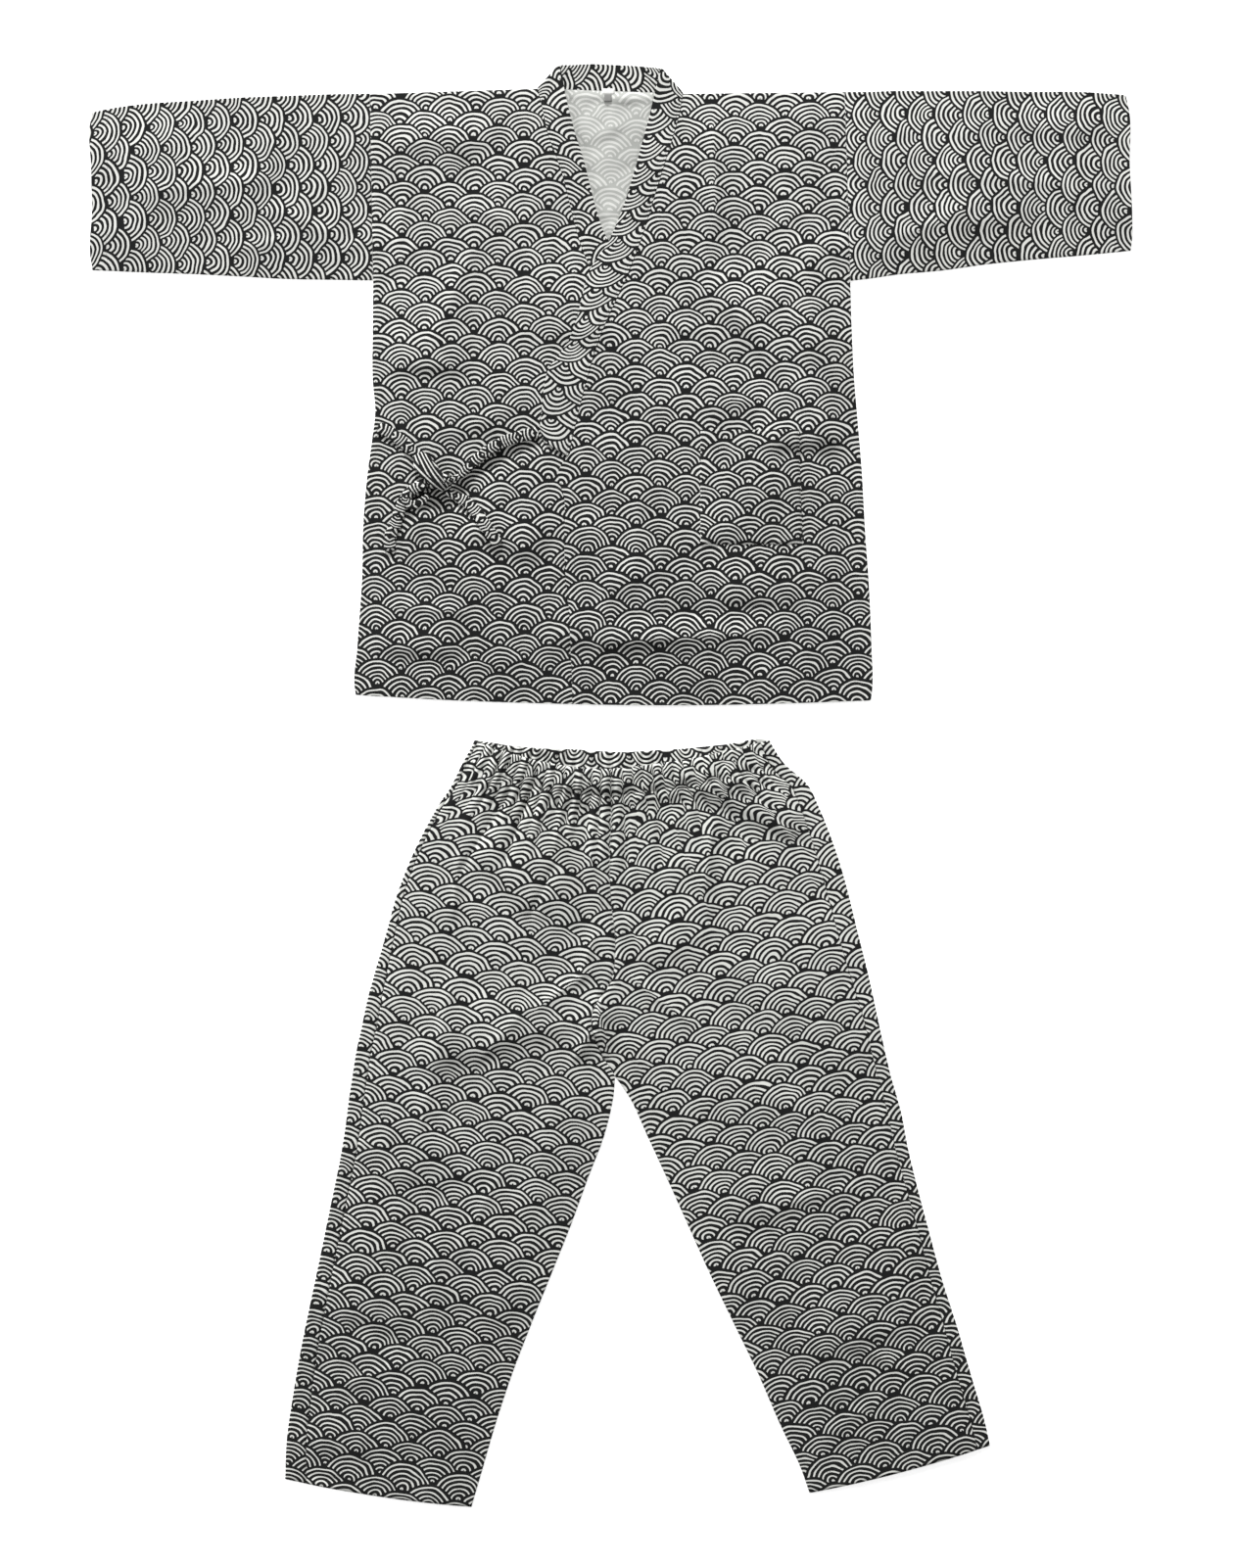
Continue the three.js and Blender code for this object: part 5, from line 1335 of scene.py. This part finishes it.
BAND_STITCHES = 0.08  # share of the collar's width from its seam
FREE_ROWS = (COLLAR[RIGHT_TURN + 2:], COLLAR[4:LEFT_TURN - 1])  # the collar's rows that show
HEM_ENDS = ((-305, -52), (-36, 314))  # x of the stitched hems, of the right front and the left one
CUFF_ENDS = ((636, 826), (660, 846))  # y of the cuffs' stitches
OPEN_ENDS = (110, 395)
POCKET_SEAM = 2  # from its stitches to its edge


def sew_shirt(right, left, sleeve_right, sleeve_left, collar, pocket):
    stitches("hem_stitches_right", right, hem_line(*HEM_ENDS[0], HEM))
    edge = sampled(OVER_EDGE, *OPEN_ENDS, OPEN_HEM)
    stitches("hem_stitches_left", left, hem_line(*HEM_ENDS[1], HEM), edge)
    stitches("cuff_stitches_right", sleeve_right, sampled(LEFT_CUFF, *CUFF_ENDS[0], HEM))
    stitches("cuff_stitches_left", sleeve_left, sampled(RIGHT_CUFF, *CUFF_ENDS[1], -HEM))
    share = BAND_STITCHES
    band = [[(mix(row[0], row[2], share), mix(row[1], row[3], share)) for row in rows] for rows in FREE_ROWS]
    stitches("collar_stitches", collar, *band)
    (top, first, last), (low, low_first, low_last) = POCKET[0], POCKET[-1]
    left_side = [(first + POCKET_SEAM, top - 1), (low_first + POCKET_SEAM, low + POCKET_SEAM)]
    right_side = [(low_last - POCKET_SEAM, low + POCKET_SEAM), (last - POCKET_SEAM, top - 1)]
    hem = [(x, top - POCKET_HEM) for x in (first + 3, last - 3)]
    stitches("pocket_stitches", pocket, left_side + right_side, hem)


LEG_HEM = (0.15, 0.94)  # shares across a leg between which the stitches run
CASING_STITCHES = (0.03, 0.99)


def make_trousers():
    fronts = []
    for side, leg, turn in (("right", LEFT_LEG, LEFT_LEG_TURN), ("left", RIGHT_LEG, RIGHT_LEG_TURN)):
        back = trouser_back(f"trouser_back_{side}_cloth", leg, turn)
        dress(back, "print", f"trouser_back_{side}")
        panel = trouser_front(f"trouser_front_{side}_cloth", leg, turn)
        dress(panel, "print", f"trouser_front_{side}")
        fronts.append((side, leg, back, panel))
    inner = casing("waist_casing_back_cloth", lambda x, y: straight(BACK_WAIST, x) - GAP, 0, [PRINT])
    dress(inner, "print", "waist_casing_back")
    turned = casing("waist_casing_front_cloth", lambda x, y: y - GAP, 1, [WRONG_SIDE])
    dress(turned, "wrong_side", "waist_casing_front")
    for side, leg, back, panel in fronts:
        inner_y, inner_x, outer_x, outer_y = leg[-1][:4]
        hem = [(mix(outer_x, inner_x, t), mix(outer_y, inner_y, t) + HEM) for t in LEG_HEM]
        x, y = on_row(np.array(leg[:1], float), np.linspace(*CASING_STITCHES, 60))
        line = [(px, py - CASING_WIDTH) for px, py in zip(x[0], y[0])]
        stitches(f"leg_stitches_{side}", panel, hem, line)


def make_stage():
    """A plain pale floor, soft studio light and the photograph's view from above."""
    bpy.ops.mesh.primitive_plane_add(size=FLOOR_SIZE)
    floor = bpy.context.object
    floor.name = "floor"
    floor.data.materials.append(new_material("floor", FLOOR_LOOK)[0])
    world = bpy.data.worlds.new("studio")
    world.use_nodes = True
    Graph(world.node_tree).join(world.node_tree.nodes["Background"], {0: (1, 1, 1, 1), 1: AMBIENT})
    bpy.context.scene.world = world
    for name, place, size, power in LAMPS:
        lamp = bpy.data.lights.new(name, "AREA")
        lamp.size = size
        lamp.energy = power
        light = bpy.data.objects.new(name, lamp)
        light.location = place
        light.rotation_euler = Vector(place).to_track_quat("Z", "Y").to_euler()
        bpy.context.scene.collection.objects.link(light)
    camera = bpy.data.cameras.new("camera")
    camera.sensor_fit = "VERTICAL"
    camera.sensor_height = SENSOR
    camera.lens = SENSOR * CAMERA_HEIGHT / (IMAGE[1] * MM_PER_PIXEL * MM)
    view = bpy.data.objects.new("camera", camera)
    view.location = (VIEW_CENTRE[0] * MM, VIEW_CENTRE[1] * MM, CAMERA_HEIGHT)
    bpy.context.scene.collection.objects.link(view)
    bpy.context.scene.camera = view
    bpy.context.scene.view_settings.view_transform = "Standard"


make_stage()
make_shirt()
make_trousers()
